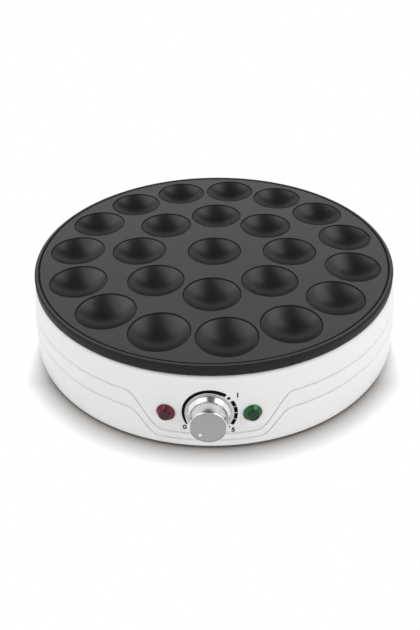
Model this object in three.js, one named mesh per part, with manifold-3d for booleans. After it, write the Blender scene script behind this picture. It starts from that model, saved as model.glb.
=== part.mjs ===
// A round electric maker of mini pancakes: a cast plate with two rings of cups and one in the middle,
// on a white drum with a thermostat knob and two pilot lamps in its front.
// Millimetres, +Z up, front towards -Y. The origin is the middle of the flat underside of the base cover,
// and the rubber feet reach below it.
import * as THREE from 'three';
import { mergeVertices } from 'three/addons/utils/BufferGeometryUtils.js';
import { ParametricGeometry } from 'three/addons/geometries/ParametricGeometry.js';
import Module from 'manifold-3d';

const wasm = await Module();
wasm.setup();

// Clearances
const seatGap = 0.3; // between two pieces that touch
const screwGap = 0.3; // between a screw's shank and its hole
const cutOverrun = 2; // how far a cutter runs past a face
const headDomeShare = 0.75; // how far a screw head's flat reaches before it rounds off

// Cups of the plate
const cupRimRadius = 22.54;
const cupDepth = 9.3;
const cupWall = 2.4;
const outerCups = 15;
const outerLand = 3.66; // flat left between two neighbours of the outer ring
const ringGap = 7.87; // flat left between the outer and the inner ring
const innerLandMin = 3.6; // least flat between two neighbours of the inner ring
const firstOuterAzimuth = Math.PI;
const firstInnerAzimuth = Math.PI / 2;

// Baking plate
const plateFaceHeight = 68;
const plateThickness = 3;
const rimLand = 7.16; // from the outer cups to the groove inside the lip
const lipWidth = 3.1;
const lipHeight = 0.4;
const lipGrooveWidth = 1.4;
const lipGrooveDepth = 0.8;
const skirtDepth = 7.4;
const skirtThickness = 3;
const skirtDraft = 0.3;
const skirtEdge = 0.6;
const rimRounding = 2;

// Drum
const skirtGap = 0.8; // from the plate's skirt down to the drum's shoulder
const shoulderOverhang = 0.75; // the wall's top radius past the plate's rim
const wallFlare = 7.25; // how much wider the wall is at its foot
const wallBelly = 1.11; // how far its middle swells past a straight cone
const wallThickness = 2.4;
const shoulderRounding = 5;
const footRounding = 0.8;
const shoulderLedge = 1.6; // flat ledge inside the rounded shoulder
const upstandRise = 2.6; // lip that rises behind the plate's skirt
const upstandThickness = 1.6;

// Grooves round the drum and the front panel that they dip under
const grooveWidth = 1.6;
const grooveDepth = 0.8;
const upperGrooveHeight = 40.1;
const lowerGrooveHeight = 26;
const panelFloorHeight = 11.5; // the upper groove below the panel
const panelGrooveSpacing = 6.1; // the lower groove runs this far under the upper one there
const upperGrooveFlat = 32.8; // half the level run under the panel
const upperGrooveReach = 61; // half the width over which it dips
const lowerGrooveFlat = 35.8;
const lowerGrooveReach = 59.1;

// Dial on the front
const dialHeight = 31;
const dialSeatRadius = 16.9;
const dialSeatHeight = 0.2;
const trimRadius = 16.4;
const trimBore = 12;
const trimThickness = 0.7;

// Knob, measured along its axis from the wall
const knobLength = 15.8;
const knobSkirtRadius = 15.4;
const knobSkirtEdge = 0.5;
const knobSkirtTop = 4.3; // where the skirt ends and the barrel starts
const knobBarrelRadius = 13.15;
const knobFrontRadius = 13;
const knobFrontChamfer = 0.55;
const knobWall = 1.8;
const knobHubRadius = 5.2;
const knobWeb = 1.3;
const knobFaceRecess = 1;
const knobFaceRadius = 12.25;
const indexRadius = 0.9;
const indexDepth = 0.45;
const indexRing = 8.9; // the dimple's distance from the knob's axis
const dialOffAngle = (222 * Math.PI) / 180;

// Thermostat behind the dial
const shaftRadius = 3;
const shaftFlatDepth = 0.8;
const shaftTail = 6; // how far it reaches into the thermostat's body
const bushWall = 1.6;
const nutThickness = 2.2;
const nutRim = 1.9;
const collarRadius = 6.6;
const collarLength = 1.2;
const thermostatWidth = 26;
const thermostatHeight = 20;
const thermostatDepth = 13;
const bladeWidth = 8;
const bladeThickness = 1;
const bladeFoot = -3; // the blades' lower ends, from the dial's axis
const bimetalInset = 0.3; // from the thermostat body's top down to the bimetal strip's tip
const bladeLength = 12;
const tabWidth = 6.3;
const tabThickness = 0.8;
const tabLength = 8;
const tabSpacing = 14;
const tabDrop = 7; // below the dial's axis
const clipThickness = 0.35;
const clipWidth = 2.2;

// Pilot lamps
const lampHeight = 29.1;
const lampSpread = 30.4; // along the wall from the dial's middle
const lensFlangeRadius = 6.8;
const lensFlangeEdge = 0.6;
const lensBossFoot = 1.5; // where the flange's slope ends and the boss starts, from the wall
const lensBossDraft = 0.55;
const lensFrontRadius = 4.2;
const lensFrontHeight = 4.7;
const lensBodyRadius = 4.9;
const lensBodyLength = 12;
const lensWall = 1.3;
const bulbTipRadius = 1.2;
const bulbLength = 10;
const lampRetainerWidth = 3;
const lampRetainerThickness = 1;

// Posts that carry the plate, and the screws through them
const postCount = 5;
const postRadius = 4.5;
const postSkirtClearance = 5.3;
const postLength = 18;
const postRibThickness = 3;
const plateBossLength = 11;
const plateScrewRadius = 1.7;
const plateScrewHeadRadius = 3.5;
const plateScrewHeadHeight = 2.4;
const plateScrewBite = 8;
const washerThickness = 2;
const washerRadius = 6;

// Heat shield
const shieldThickness = 0.8;
const shieldDepth = 7;
const shieldFloorRadius = 122;
const shieldSlope = 5;
const shieldRim = 5.5; // past the posts' middles
const shieldPinHole = 6;

// Heating element and its clamps
const elementRadius = 3.25;
const elementPinSpread = 22; // between its two ends at the back
const elementPinDrop = 28;
const elementBend = 12;
const clampCount = 4;
const clampSetback = 12.7; // from the element's ring inwards to the clamp's screw
const clampBossRadius = 3.5;
const clampBossLength = 3.8;
const clampThickness = 1.2;
const clampWidth = 9;
const clampFoot = 4.6;
const clampScrewRadius = 1.5;
const clampScrewHeadRadius = 2.9;
const clampScrewHeadHeight = 1.8;
const clampScrewBite = 3;

// Base cover, its screws and the feet
const coverThickness = 2.5;
const coverClearance = 0.8;
const ventWidth = 4;
const ventLength = 22;
const ventRing = 78; // radius of the middle of the vents
const ventCount = 12;
const coverScrewCount = 4;
const coverScrewAzimuth = Math.PI / 6;
const coverBossRadius = 4.2;
const coverBossHeight = 12;
const coverBossInset = 10; // from the wall's outside to the boss's middle
const coverScrewRadius = 1.6;
const coverScrewHeadRadius = 3.4;
const coverScrewHeadHeight = 1.8;
const coverScrewBite = 8;
const footCount = 4;
const footRing = 126;
const footRadius = 8;
const footHeight = 2.5;
const footNeckRadius = 3.3;
const footBarbRadius = 4.5;
const footBarbHeight = 2.2;
const footEdge = 0.7;

// Cord gland in the back wall
const glandHeight = 18;
const glandSeatRadius = 10.5;
const glandSeatHeight = 1.3;
const glandFlangeRadius = 9;
const glandFlangeThickness = 3;
const glandEdge = 1;
const glandNeckRadius = 6.4;
const glandBore = 4.2;
const glandNeckLength = 12;
const glandNutRadius = 9.5;
const glandNutThickness = 4;

// Terminal block, thermal fuse and internal wires
const blockWidth = 34;
const blockDepth = 14;
const blockHeight = 12;
const blockSetback = 34; // from the back wall to the block's back
const blockScrewRadius = 1.5;
const blockScrewHeadRadius = 2.8;
const blockScrewHeadHeight = 1.6;
const blockScrewBite = 1.8;
const fuseRadius = 2.4;
const fuseLength = 16;
const fuseOffsetX = -52;
const fuseOffsetY = 30;
const fuseClipThickness = 0.8;
const fuseClipWidth = 6;
const fuseClipFoot = 11;
const fuseScrewRadius = 1.4;
const fuseScrewHeadRadius = 2.6;
const fuseScrewHeadHeight = 1.5;
const wireRadius = 1.1;
const wireStub = 7; // straight run of a wire out of its terminal
const floorLane = 9; // height of the wires that lie over the base cover
const liveLaneRadius = 104;
const switchedLaneRadius = 98;
const neutralLaneRadius = 80;
const returnLaneRadius = 48;
const returnLane = 22;

// Sides of round pieces
const plateSides = 54;
const cupSides = 18;
const cupRings = 3;
const bulgeSides = 8;
const bulgeRings = 2;
const drumSides = 48;
const knobSides = 30;
const shaftSides = 16;
const smallSides = 9;
const wireSides = 5;
const hexSides = 6;
const elementSides = 8;

// Steps along and across the shaped pieces
const elementSteps = 60;
const wireSteps = 20;
const laneSteps = 4;
const panelColumns = 22;
const roundColumns = 36;
const shoulderSteps = 2;
const ventEndSteps = 3;

// Places worked out from the sizes above
const fullTurn = 2 * Math.PI;
const quarterTurn = Math.PI / 2;
const frontAzimuth = -quarterTurn;
const outerPitch = fullTurn / outerCups;
const outerRing = (cupRimRadius + outerLand / 2) / Math.sin(outerPitch / 2);
const innerRing = outerRing - 2 * cupRimRadius - ringGap;
const innerCups = Math.floor(Math.PI / Math.asin((cupRimRadius + innerLandMin / 2) / innerRing));
const innerPitch = fullTurn / innerCups;
const cupSphere = (cupRimRadius ** 2 + cupDepth ** 2) / (2 * cupDepth);
const plateRadius = outerRing + cupRimRadius + rimLand + lipWidth;
const plateUnder = plateFaceHeight - plateThickness;
const skirtFoot = plateFaceHeight - skirtDepth;
const skirtInner = plateRadius - skirtThickness;
const drumTop = skirtFoot - skirtGap;
const postRing = skirtInner - postSkirtClearance - postRadius;
const plateBossFoot = plateUnder - plateBossLength;
const washerTop = plateBossFoot - seatGap;
const shieldTop = washerTop - washerThickness - seatGap;
const postTop = shieldTop - shieldThickness - seatGap;
const postFoot = postTop - postLength;
const shieldFloorTop = shieldTop - shieldDepth;
const shieldFloorUnder = shieldFloorTop - shieldThickness;
const elementRing = (outerRing + innerRing) / 2;
const elementHeight = plateUnder - seatGap - elementRadius;
const clampRing = elementRing - clampSetback;
const clampBossFoot = plateUnder - clampBossLength;

// Drum wall: radius and lean at a height above the underside
function wallRadius(height) {
  const share = (drumTop - height) / drumTop;
  return plateRadius + shoulderOverhang + wallFlare * share + 4 * wallBelly * share * (1 - share);
}

function wallLean(height) {
  const share = (drumTop - height) / drumTop;
  return Math.atan((wallFlare + 4 * wallBelly * (1 - 2 * share)) / drumTop);
}

// Place on the drum's outside: local Z points out along the given lean, local X runs along the wall
function placeOnWall(azimuth, height, lean) {
  const out = new THREE.Vector3(
    Math.cos(azimuth) * Math.cos(lean),
    Math.sin(azimuth) * Math.cos(lean),
    Math.sin(lean),
  );
  const along = new THREE.Vector3(-Math.sin(azimuth), Math.cos(azimuth), 0);
  const up = new THREE.Vector3().crossVectors(out, along);
  const radius = wallRadius(height);
  return new THREE.Matrix4()
    .makeBasis(along, up, out)
    .setPosition(radius * Math.cos(azimuth), radius * Math.sin(azimuth), height);
}

function polar(radius, azimuth, height) {
  return new THREE.Vector3(radius * Math.cos(azimuth), radius * Math.sin(azimuth), height);
}

// Closed geometry to a solid and back
function solidOf(geometry) {
  const bare = geometry.clone();
  bare.deleteAttribute('normal');
  bare.deleteAttribute('uv');
  const welded = mergeVertices(bare);
  const corners = welded.index.array;
  const faces = [];
  for (let i = 0; i < corners.length; i += 3) {
    const [a, b, c] = [corners[i], corners[i + 1], corners[i + 2]];
    if (a !== b && b !== c && c !== a) faces.push(a, b, c);
  }
  return new wasm.Manifold(new wasm.Mesh({
    numProp: 3,
    vertProperties: welded.attributes.position.array,
    triVerts: new Uint32Array(faces),
  }));
}

function geometryOf(solid) {
  const mesh = solid.getMesh();
  const geometry = new THREE.BufferGeometry();
  geometry.setAttribute('position', new THREE.BufferAttribute(mesh.vertProperties, 3));
  geometry.setIndex(new THREE.BufferAttribute(mesh.triVerts, 1));
  geometry.computeVertexNormals();
  return geometry;
}

// Outline of [radius, height] points turned about Z; it runs anticlockwise
function turned(outline, sides) {
  const points = outline.map(([radius, height]) => new THREE.Vector2(radius, height));
  return new THREE.LatheGeometry(points, sides).rotateX(quarterTurn);
}

// Round bar and pipe between two heights
function bar(radius, low, high, sides) {
  return turned([[0, low], [radius, low], [radius, high], [0, high]], sides);
}

function pipe(bore, radius, low, high, sides) {
  return turned([[bore, low], [radius, low], [radius, high], [bore, high], [bore, low]], sides);
}

function block(width, depth, height, x, y, z) {
  return new THREE.BoxGeometry(width, depth, height).translate(x, y, z);
}

// Strip with the given side outline in X and Z, its width along Y
function strip(outline, width) {
  const shape = new THREE.Shape(outline.map(([x, z]) => new THREE.Vector2(x, z)));
  const geometry = new THREE.ExtrudeGeometry(shape, { depth: width, bevelEnabled: false });
  return geometry.translate(0, 0, -width / 2).rotateX(quarterTurn);
}

// Tube along a curve
function tube(path, radius, sides, steps) {
  const section = new THREE.Shape();
  for (let i = 0; i < sides; i += 1) {
    const angle = (fullTurn * i) / sides;
    const [x, y] = [radius * Math.cos(angle), radius * Math.sin(angle)];
    if (i === 0) section.moveTo(x, y);
    else section.lineTo(x, y);
  }
  return new THREE.ExtrudeGeometry(section, { extrudePath: path, steps, bevelEnabled: false });
}

// Screw with its head below, its shank up to the top
function screw(shankRadius, headRadius, headHeight, low, top) {
  return turned([
    [0, low],
    [headRadius * headDomeShare, low],
    [headRadius, low + headHeight * headDomeShare],
    [headRadius, low + headHeight],
    [shankRadius, low + headHeight],
    [shankRadius, top],
    [0, top],
  ], smallSides);
}

// Spherical bowl from its lowest point out to the radius where it meets a level
function bowlOutline(sphere, centre, rimAngle, rings) {
  const outline = [];
  for (let i = 0; i <= rings; i += 1) {
    const angle = (rimAngle * i) / rings;
    outline.push([sphere * Math.sin(angle), centre - sphere * Math.cos(angle)]);
  }
  return outline;
}

// Finishes
function finish(colour, roughness, metalness) {
  return new THREE.MeshStandardMaterial({ color: colour, roughness, metalness });
}

const nonStick = finish(0x3a3a3b, 0.5, 0.1);
const whitePlastic = finish(0xe9e9e8, 0.35, 0);
const chrome = finish(0xd8d8d8, 0.12, 1);
const satinMetal = finish(0xa0a0a0, 0.4, 0.8);
const steel = finish(0x9b9c9e, 0.4, 0.9);
const brightSteel = finish(0xbcbdbf, 0.35, 0.9);
const ceramic = finish(0xe6e1d4, 0.6, 0);
const brass = finish(0xb08d4a, 0.35, 0.9);
const blackRubber = finish(0x202020, 0.8, 0);
const blackPlastic = finish(0x1d1d1e, 0.5, 0);
const redLens = finish(0x8a2233, 0.2, 0);
const greenLens = finish(0x1f6a35, 0.2, 0);
const clearGlass = finish(0xe8ded6, 0.1, 0);
const redInsulation = finish(0x8f2a24, 0.6, 0);
const whiteInsulation = finish(0xdedcd4, 0.6, 0);

const pancakeMaker = new THREE.Group();

function add(name, solid, material, parent = pancakeMaker) {
  const mesh = new THREE.Mesh(geometryOf(solid), material);
  mesh.name = name;
  parent.add(mesh);
}

function groupAt(place) {
  const group = new THREE.Group();
  group.applyMatrix4(place);
  pancakeMaker.add(group);
  return group;
}

// Azimuths between two neighbouring cups of a ring
function outerGapAzimuth(index) {
  return firstOuterAzimuth + (index + 1 / 2) * outerPitch;
}

function innerGapAzimuth(index) {
  return firstInnerAzimuth + (index + 1 / 2) * innerPitch;
}

const postAzimuths = [];
for (let i = 0; i < postCount; i += 1) {
  postAzimuths.push(outerGapAzimuth(1 + Math.round((i * outerCups) / postCount)));
}
const clampAzimuths = [];
for (let i = 0; i < clampCount; i += 1) {
  clampAzimuths.push(innerGapAzimuth(Math.round((i * innerCups) / clampCount)));
}
const clampPlaces = clampAzimuths.map((azimuth) => polar(clampRing, azimuth, 0));
const postPlaces = postAzimuths.map((azimuth) => polar(postRing, azimuth, 0));

// Baking plate: one casting with its cups, the posts' bosses and the clamps' bosses
function cupPlaces() {
  const places = [new THREE.Vector3(0, 0, plateFaceHeight)];
  for (let i = 0; i < innerCups; i += 1) {
    places.push(polar(innerRing, firstInnerAzimuth + i * innerPitch, plateFaceHeight));
  }
  for (let i = 0; i < outerCups; i += 1) {
    places.push(polar(outerRing, firstOuterAzimuth + i * outerPitch, plateFaceHeight));
  }
  return places;
}

function plateOutline() {
  const rimTop = plateFaceHeight + lipHeight;
  const grooveOuter = plateRadius - lipWidth;
  const shoulder = rimRounding * (1 - Math.SQRT1_2);
  return [
    [0, plateUnder],
    [skirtInner, plateUnder],
    [skirtInner, skirtFoot],
    [plateRadius + skirtDraft - skirtEdge, skirtFoot],
    [plateRadius + skirtDraft, skirtFoot + skirtEdge],
    [plateRadius, rimTop - rimRounding],
    [plateRadius - shoulder, rimTop - shoulder],
    [plateRadius - rimRounding, rimTop],
    [grooveOuter, rimTop],
    [grooveOuter - lipGrooveWidth / 2, plateFaceHeight - lipGrooveDepth],
    [grooveOuter - lipGrooveWidth, plateFaceHeight],
    [0, plateFaceHeight],
  ];
}

function bakingPlate() {
  const bowlCentre = cupSphere - cupDepth;
  const bowl = turned([
    ...bowlOutline(cupSphere, bowlCentre, Math.asin(cupRimRadius / cupSphere), cupRings),
    [cupRimRadius, cutOverrun],
    [0, cutOverrun],
  ], cupSides);
  const bulgeSphere = cupSphere + cupWall;
  const bulgeTop = -plateThickness / 2;
  const bulge = turned([
    ...bowlOutline(bulgeSphere, bowlCentre, Math.acos((bowlCentre - bulgeTop) / bulgeSphere), bulgeRings),
    [0, bulgeTop],
  ], bulgeSides);
  let solid = solidOf(turned(plateOutline(), plateSides));
  const bossTop = plateUnder + plateThickness / 2;
  for (const place of cupPlaces()) solid = solid.add(solidOf(bulge.clone().translate(...place)));
  for (const { x, y } of postPlaces) {
    const boss = bar(postRadius, plateBossFoot, bossTop, smallSides).translate(x, y, 0);
    const hole = bar(plateScrewRadius + screwGap, plateBossFoot - cutOverrun,
      plateBossFoot + plateScrewBite + seatGap, smallSides).translate(x, y, 0);
    solid = solid.add(solidOf(boss)).subtract(solidOf(hole));
  }
  for (const { x, y } of clampPlaces) {
    const boss = bar(clampBossRadius, clampBossFoot, bossTop, smallSides).translate(x, y, 0);
    const hole = bar(clampScrewRadius + screwGap, clampBossFoot - cutOverrun,
      clampBossFoot + clampScrewBite + seatGap, smallSides).translate(x, y, 0);
    solid = solid.add(solidOf(boss)).subtract(solidOf(hole));
  }
  for (const place of cupPlaces()) solid = solid.subtract(solidOf(bowl.clone().translate(...place)));
  return solid;
}

add('baking_plate', bakingPlate(), nonStick);

// Heating element: a ring between the two rings of cups, its ends bent down at the back
class ElementRing extends THREE.Curve {
  constructor(from, sweep) {
    super();
    this.from = from;
    this.sweep = sweep;
  }

  getPoint(t, target = new THREE.Vector3()) {
    return target.copy(polar(elementRing, this.from + this.sweep * t, elementHeight));
  }
}

const pinAngle = Math.asin(elementPinSpread / 2 / elementRing);
const bendAngle = elementBend / elementRing;
const pinFoot = elementHeight - elementPinDrop;

function elementPath() {
  const path = new THREE.CurvePath();
  const start = quarterTurn + pinAngle;
  const end = quarterTurn + fullTurn - pinAngle;
  const bendTop = elementHeight - elementBend;
  path.add(new THREE.LineCurve3(polar(elementRing, start, pinFoot), polar(elementRing, start, bendTop)));
  path.add(new THREE.QuadraticBezierCurve3(
    polar(elementRing, start, bendTop),
    polar(elementRing, start, elementHeight),
    polar(elementRing, start + bendAngle, elementHeight),
  ));
  path.add(new ElementRing(start + bendAngle, end - start - 2 * bendAngle));
  path.add(new THREE.QuadraticBezierCurve3(
    polar(elementRing, end - bendAngle, elementHeight),
    polar(elementRing, end, elementHeight),
    polar(elementRing, end, bendTop),
  ));
  path.add(new THREE.LineCurve3(polar(elementRing, end, bendTop), polar(elementRing, end, pinFoot)));
  return path;
}

add('heating_element', solidOf(tube(elementPath(), elementRadius, elementSides, elementSteps)), steel);

// Clamps that hold the element up against the plate, each a bent strip on one screw
const clampTop = clampBossFoot - seatGap;
const clampHookTop = elementHeight - elementRadius - seatGap;
const clampHookStart = clampSetback - elementRadius - seatGap;
const clampHookEnd = clampSetback + elementRadius;

function elementClamp() {
  const solid = solidOf(strip([
    [-clampFoot, clampTop - clampThickness],
    [clampFoot - clampThickness / 2, clampTop - clampThickness],
    [clampHookStart - clampThickness / 2, clampHookTop - clampThickness],
    [clampHookEnd, clampHookTop - clampThickness],
    [clampHookEnd, clampHookTop],
    [clampHookStart, clampHookTop],
    [clampFoot, clampTop],
    [-clampFoot, clampTop],
  ], clampWidth));
  const hole = bar(clampScrewRadius + screwGap, clampTop - clampThickness - cutOverrun,
    clampTop + cutOverrun, smallSides);
  return solid.subtract(solidOf(hole));
}

const clampScrewLow = clampTop - clampThickness - seatGap - clampScrewHeadHeight;
clampAzimuths.forEach((azimuth, index) => {
  const place = new THREE.Matrix4().makeRotationZ(azimuth).setPosition(clampPlaces[index]);
  const group = groupAt(place);
  add(`element_clamp_${index + 1}`, elementClamp(), brightSteel, group);
  add(`clamp_screw_${index + 1}`, solidOf(screw(clampScrewRadius, clampScrewHeadRadius,
    clampScrewHeadHeight, clampScrewLow, clampBossFoot + clampScrewBite)), steel, group);
});

// Heat shield: a pan whose flange is held between the washers and the posts
const fusePlace = new THREE.Vector3(fuseOffsetX, fuseOffsetY, 0);

function heatShield() {
  const flangeStart = shieldFloorRadius + shieldSlope;
  const flangeEnd = postRing + shieldRim;
  let solid = solidOf(turned([
    [0, shieldFloorUnder],
    [shieldFloorRadius, shieldFloorUnder],
    [flangeStart, shieldTop - shieldThickness],
    [flangeEnd, shieldTop - shieldThickness],
    [flangeEnd, shieldTop],
    [flangeStart - shieldThickness / 2, shieldTop],
    [shieldFloorRadius - shieldThickness / 2, shieldFloorTop],
    [0, shieldFloorTop],
  ], drumSides));
  for (const { x, y } of postPlaces) {
    const hole = bar(plateScrewRadius + screwGap, shieldFloorUnder - cutOverrun, shieldTop + cutOverrun,
      smallSides);
    solid = solid.subtract(solidOf(hole.translate(x, y, 0)));
  }
  for (const side of [-1, 1]) {
    const pin = polar(elementRing, quarterTurn + side * pinAngle, 0);
    const hole = bar(shieldPinHole, shieldFloorUnder - cutOverrun, shieldTop + cutOverrun, smallSides);
    solid = solid.subtract(solidOf(hole.translate(pin.x, pin.y, 0)));
  }
  const screwHole = bar(fuseScrewRadius + screwGap, shieldFloorUnder - cutOverrun,
    shieldFloorTop + cutOverrun, smallSides);
  return solid.subtract(solidOf(screwHole.translate(fusePlace.x + fuseClipFoot, fusePlace.y, 0)));
}

add('heat_shield', heatShield(), brightSteel);

// Screws that hold the plate, from below through the posts, and their insulating washers
const plateScrewLow = postFoot - seatGap - plateScrewHeadHeight;
postPlaces.forEach(({ x, y }, index) => {
  const shank = screw(plateScrewRadius, plateScrewHeadRadius, plateScrewHeadHeight, plateScrewLow,
    plateBossFoot + plateScrewBite);
  add(`plate_screw_${index + 1}`, solidOf(shank.translate(x, y, 0)), steel);
  const washer = pipe(plateScrewRadius + screwGap, washerRadius, washerTop - washerThickness, washerTop,
    smallSides);
  add(`insulating_washer_${index + 1}`, solidOf(washer.translate(x, y, 0)), ceramic);
});

// Drum housing: its wall follows the two grooves, closer columns where they dip under the front panel
const grooveRadius = wallRadius(dialHeight);
const panelZoneAngle = (upperGrooveReach + grooveWidth) / grooveRadius;

function columnAzimuth(u) {
  const column = u * (panelColumns + roundColumns);
  if (column <= panelColumns) return frontAzimuth + panelZoneAngle * ((2 * column) / panelColumns - 1);
  const share = (column - panelColumns) / roundColumns;
  return frontAzimuth + panelZoneAngle + (fullTurn - 2 * panelZoneAngle) * share;
}

// Height of a groove at a distance along the wall from the middle of the front, and half its height there
function grooveAt(arc, height, panelHeight, flat, reach) {
  const share = THREE.MathUtils.clamp((Math.abs(arc) - flat) / (reach - flat), 0, 1);
  const drop = height - panelHeight;
  const slope = (drop * 6 * share * (1 - share)) / (reach - flat);
  const middle = panelHeight + drop * share * share * (3 - 2 * share);
  return { middle, half: (grooveWidth / 2) * Math.hypot(1, slope) };
}

// Cross-section of the wall at an azimuth, as [radius, height] points round its outside and inside
function wallSection(azimuth) {
  const arc = Math.abs(Math.atan2(Math.sin(azimuth - frontAzimuth), Math.cos(azimuth - frontAzimuth)))
    * grooveRadius;
  const upper = grooveAt(arc, upperGrooveHeight, panelFloorHeight, upperGrooveFlat, upperGrooveReach);
  const lower = grooveAt(arc, lowerGrooveHeight, panelFloorHeight - panelGrooveSpacing, lowerGrooveFlat,
    lowerGrooveReach);
  const roundStart = drumTop - shoulderRounding;
  const roundCentre = wallRadius(roundStart) - shoulderRounding;
  const upperStart = upper.middle + upper.half;
  const section = [[wallRadius(0) - footRounding, 0], [wallRadius(footRounding), footRounding]];
  for (const groove of [lower, upper]) {
    section.push([wallRadius(groove.middle - groove.half), groove.middle - groove.half]);
    section.push([wallRadius(groove.middle) - grooveDepth, groove.middle]);
    section.push([wallRadius(groove.middle + groove.half), groove.middle + groove.half]);
  }
  const between = (upperStart + roundStart) / 2;
  section.push([wallRadius(between), between]);
  for (let i = 0; i <= shoulderSteps; i += 1) {
    const angle = (quarterTurn * i) / shoulderSteps;
    section.push([
      roundCentre + shoulderRounding * Math.cos(angle),
      roundStart + shoulderRounding * Math.sin(angle),
    ]);
  }
  const ledge = drumTop - wallThickness;
  const innerTop = roundStart - wallThickness / 2;
  const innerMiddle = innerTop / 2;
  const upstand = roundCentre - shoulderLedge;
  section.push([upstand, drumTop], [upstand, drumTop + upstandRise]);
  section.push([upstand - upstandThickness, drumTop + upstandRise], [upstand - upstandThickness, ledge]);
  section.push([roundCentre, ledge]);
  section.push([wallRadius(innerTop) - wallThickness, innerTop]);
  section.push([wallRadius(innerMiddle) - wallThickness, innerMiddle]);
  section.push([wallRadius(0) - wallThickness, 0]);
  section.push(section[0]);
  return section;
}

function drumWall() {
  const rows = wallSection(0).length - 1;
  const surface = (u, v, target) => {
    const azimuth = columnAzimuth(THREE.MathUtils.clamp(u, 0, 1));
    const row = THREE.MathUtils.clamp(Math.round(v * rows), 0, rows);
    const [radius, height] = wallSection(azimuth)[row];
    target.copy(polar(radius, azimuth, height));
  };
  return new ParametricGeometry(surface, panelColumns + roundColumns, rows);
}

// The drum's core, to the middle of its wall: posts and bosses are trimmed to it
function drumCore() {
  const reach = (height) => wallRadius(height) - wallThickness / 2;
  const top = drumTop - wallThickness / 2;
  return turned([
    [0, 0],
    [reach(0), 0],
    [reach(top / 3), top / 3],
    [reach((2 * top) / 3), (2 * top) / 3],
    [reach(top) - shoulderRounding / 2, top],
    [0, top],
  ], drumSides);
}

// Radial rib from a place out past the wall
function rib(place, thickness, low, high) {
  const azimuth = Math.atan2(place.y, place.x);
  const inner = Math.hypot(place.x, place.y);
  const length = wallRadius(0) - inner;
  return block(length, thickness, high - low, inner + length / 2, 0, (low + high) / 2).rotateZ(azimuth);
}

const dialLean = wallLean(dialHeight);
const lampLean = wallLean(lampHeight);
const dialPlace = placeOnWall(frontAzimuth, dialHeight, dialLean);
const lampAngle = lampSpread / wallRadius(lampHeight);
const lampPlaces = [-1, 1].map((side) => placeOnWall(frontAzimuth + side * lampAngle, lampHeight, lampLean));
const glandPlace = placeOnWall(quarterTurn, glandHeight, 0);
const bushBore = shaftRadius + seatGap;
const bushRadius = bushBore + bushWall;
const coverBossRing = wallRadius(0) - coverBossInset;
const coverBossFoot = coverThickness + seatGap;
const coverScrewPlaces = [];
for (let i = 0; i < coverScrewCount; i += 1) {
  const turn = Math.floor(i / 2) * Math.PI;
  coverScrewPlaces.push(polar(coverBossRing, turn + (i % 2 ? -1 : 1) * coverScrewAzimuth, 0));
}

function housing() {
  const core = solidOf(drumCore());
  const coverBossTop = coverBossFoot + coverBossHeight;
  const carriers = [
    ...postPlaces.map(({ x, y }) => bar(postRadius, postFoot, postTop, smallSides).translate(x, y, 0)),
    ...postPlaces.map((place) => rib(place, postRibThickness, postFoot + postRadius, postTop - postRadius)),
    ...coverScrewPlaces.map(({ x, y }) => bar(coverBossRadius, coverBossFoot, coverBossTop, smallSides)
      .translate(x, y, 0)),
    ...coverScrewPlaces.map((place) => rib(place, coverBossRadius, coverBossFoot, coverBossTop)),
  ];
  let solid = solidOf(drumWall());
  for (const carrier of carriers) solid = solid.add(solidOf(carrier).intersect(core));
  const seatRoot = -wallThickness / 2;
  const glandSeatRoot = seatRoot - glandSeatRadius * Math.tan(wallLean(glandHeight));
  const dialSeat = bar(dialSeatRadius, seatRoot, dialSeatHeight, knobSides).applyMatrix4(dialPlace);
  const glandSeat = bar(glandSeatRadius, glandSeatRoot, glandSeatHeight, shaftSides)
    .applyMatrix4(glandPlace);
  solid = solid.add(solidOf(dialSeat)).add(solidOf(glandSeat));
  const through = wallThickness + cutOverrun;
  const holes = [
    bar(bushRadius + seatGap, -through, through, shaftSides).applyMatrix4(dialPlace),
    bar(glandNeckRadius + seatGap, -through, through, shaftSides).applyMatrix4(glandPlace),
    ...lampPlaces.map((place) => bar(lensBodyRadius + seatGap, -through, through, shaftSides)
      .applyMatrix4(place)),
    ...postPlaces.map(({ x, y }) => bar(plateScrewRadius + screwGap, postFoot - cutOverrun,
      postTop + cutOverrun, smallSides).translate(x, y, 0)),
    ...coverScrewPlaces.map(({ x, y }) => bar(coverScrewRadius + screwGap, coverBossFoot - cutOverrun,
      coverBossFoot + coverScrewBite + seatGap, smallSides).translate(x, y, 0)),
  ];
  for (const hole of holes) solid = solid.subtract(solidOf(hole));
  return solid;
}

add('housing', housing(), whitePlastic);

// Base cover with vents, countersunk screws and rubber feet
const footPlaces = [];
for (let i = 0; i < footCount; i += 1) {
  footPlaces.push(polar(footRing, ((i + 1 / 2) * fullTurn) / footCount, 0));
}
const blockY = wallRadius(0) - blockSetback - blockDepth / 2;

function countersunk(shankRadius, headRadius, headHeight, low, top) {
  return turned([
    [0, low],
    [headRadius, low],
    [shankRadius, low + headHeight],
    [shankRadius, top],
    [0, top],
  ], smallSides);
}

function ventCutter() {
  const outline = new THREE.Shape();
  const straight = ventLength / 2 - ventWidth / 2;
  outline.moveTo(-straight, -ventWidth / 2);
  outline.lineTo(straight, -ventWidth / 2);
  outline.absarc(straight, 0, ventWidth / 2, -quarterTurn, quarterTurn);
  outline.lineTo(-straight, ventWidth / 2);
  outline.absarc(-straight, 0, ventWidth / 2, quarterTurn, 3 * quarterTurn);
  const depth = coverThickness + 2 * cutOverrun;
  const settings = { depth, bevelEnabled: false, curveSegments: ventEndSteps };
  return new THREE.ExtrudeGeometry(outline, settings).translate(0, 0, -cutOverrun);
}

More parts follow.
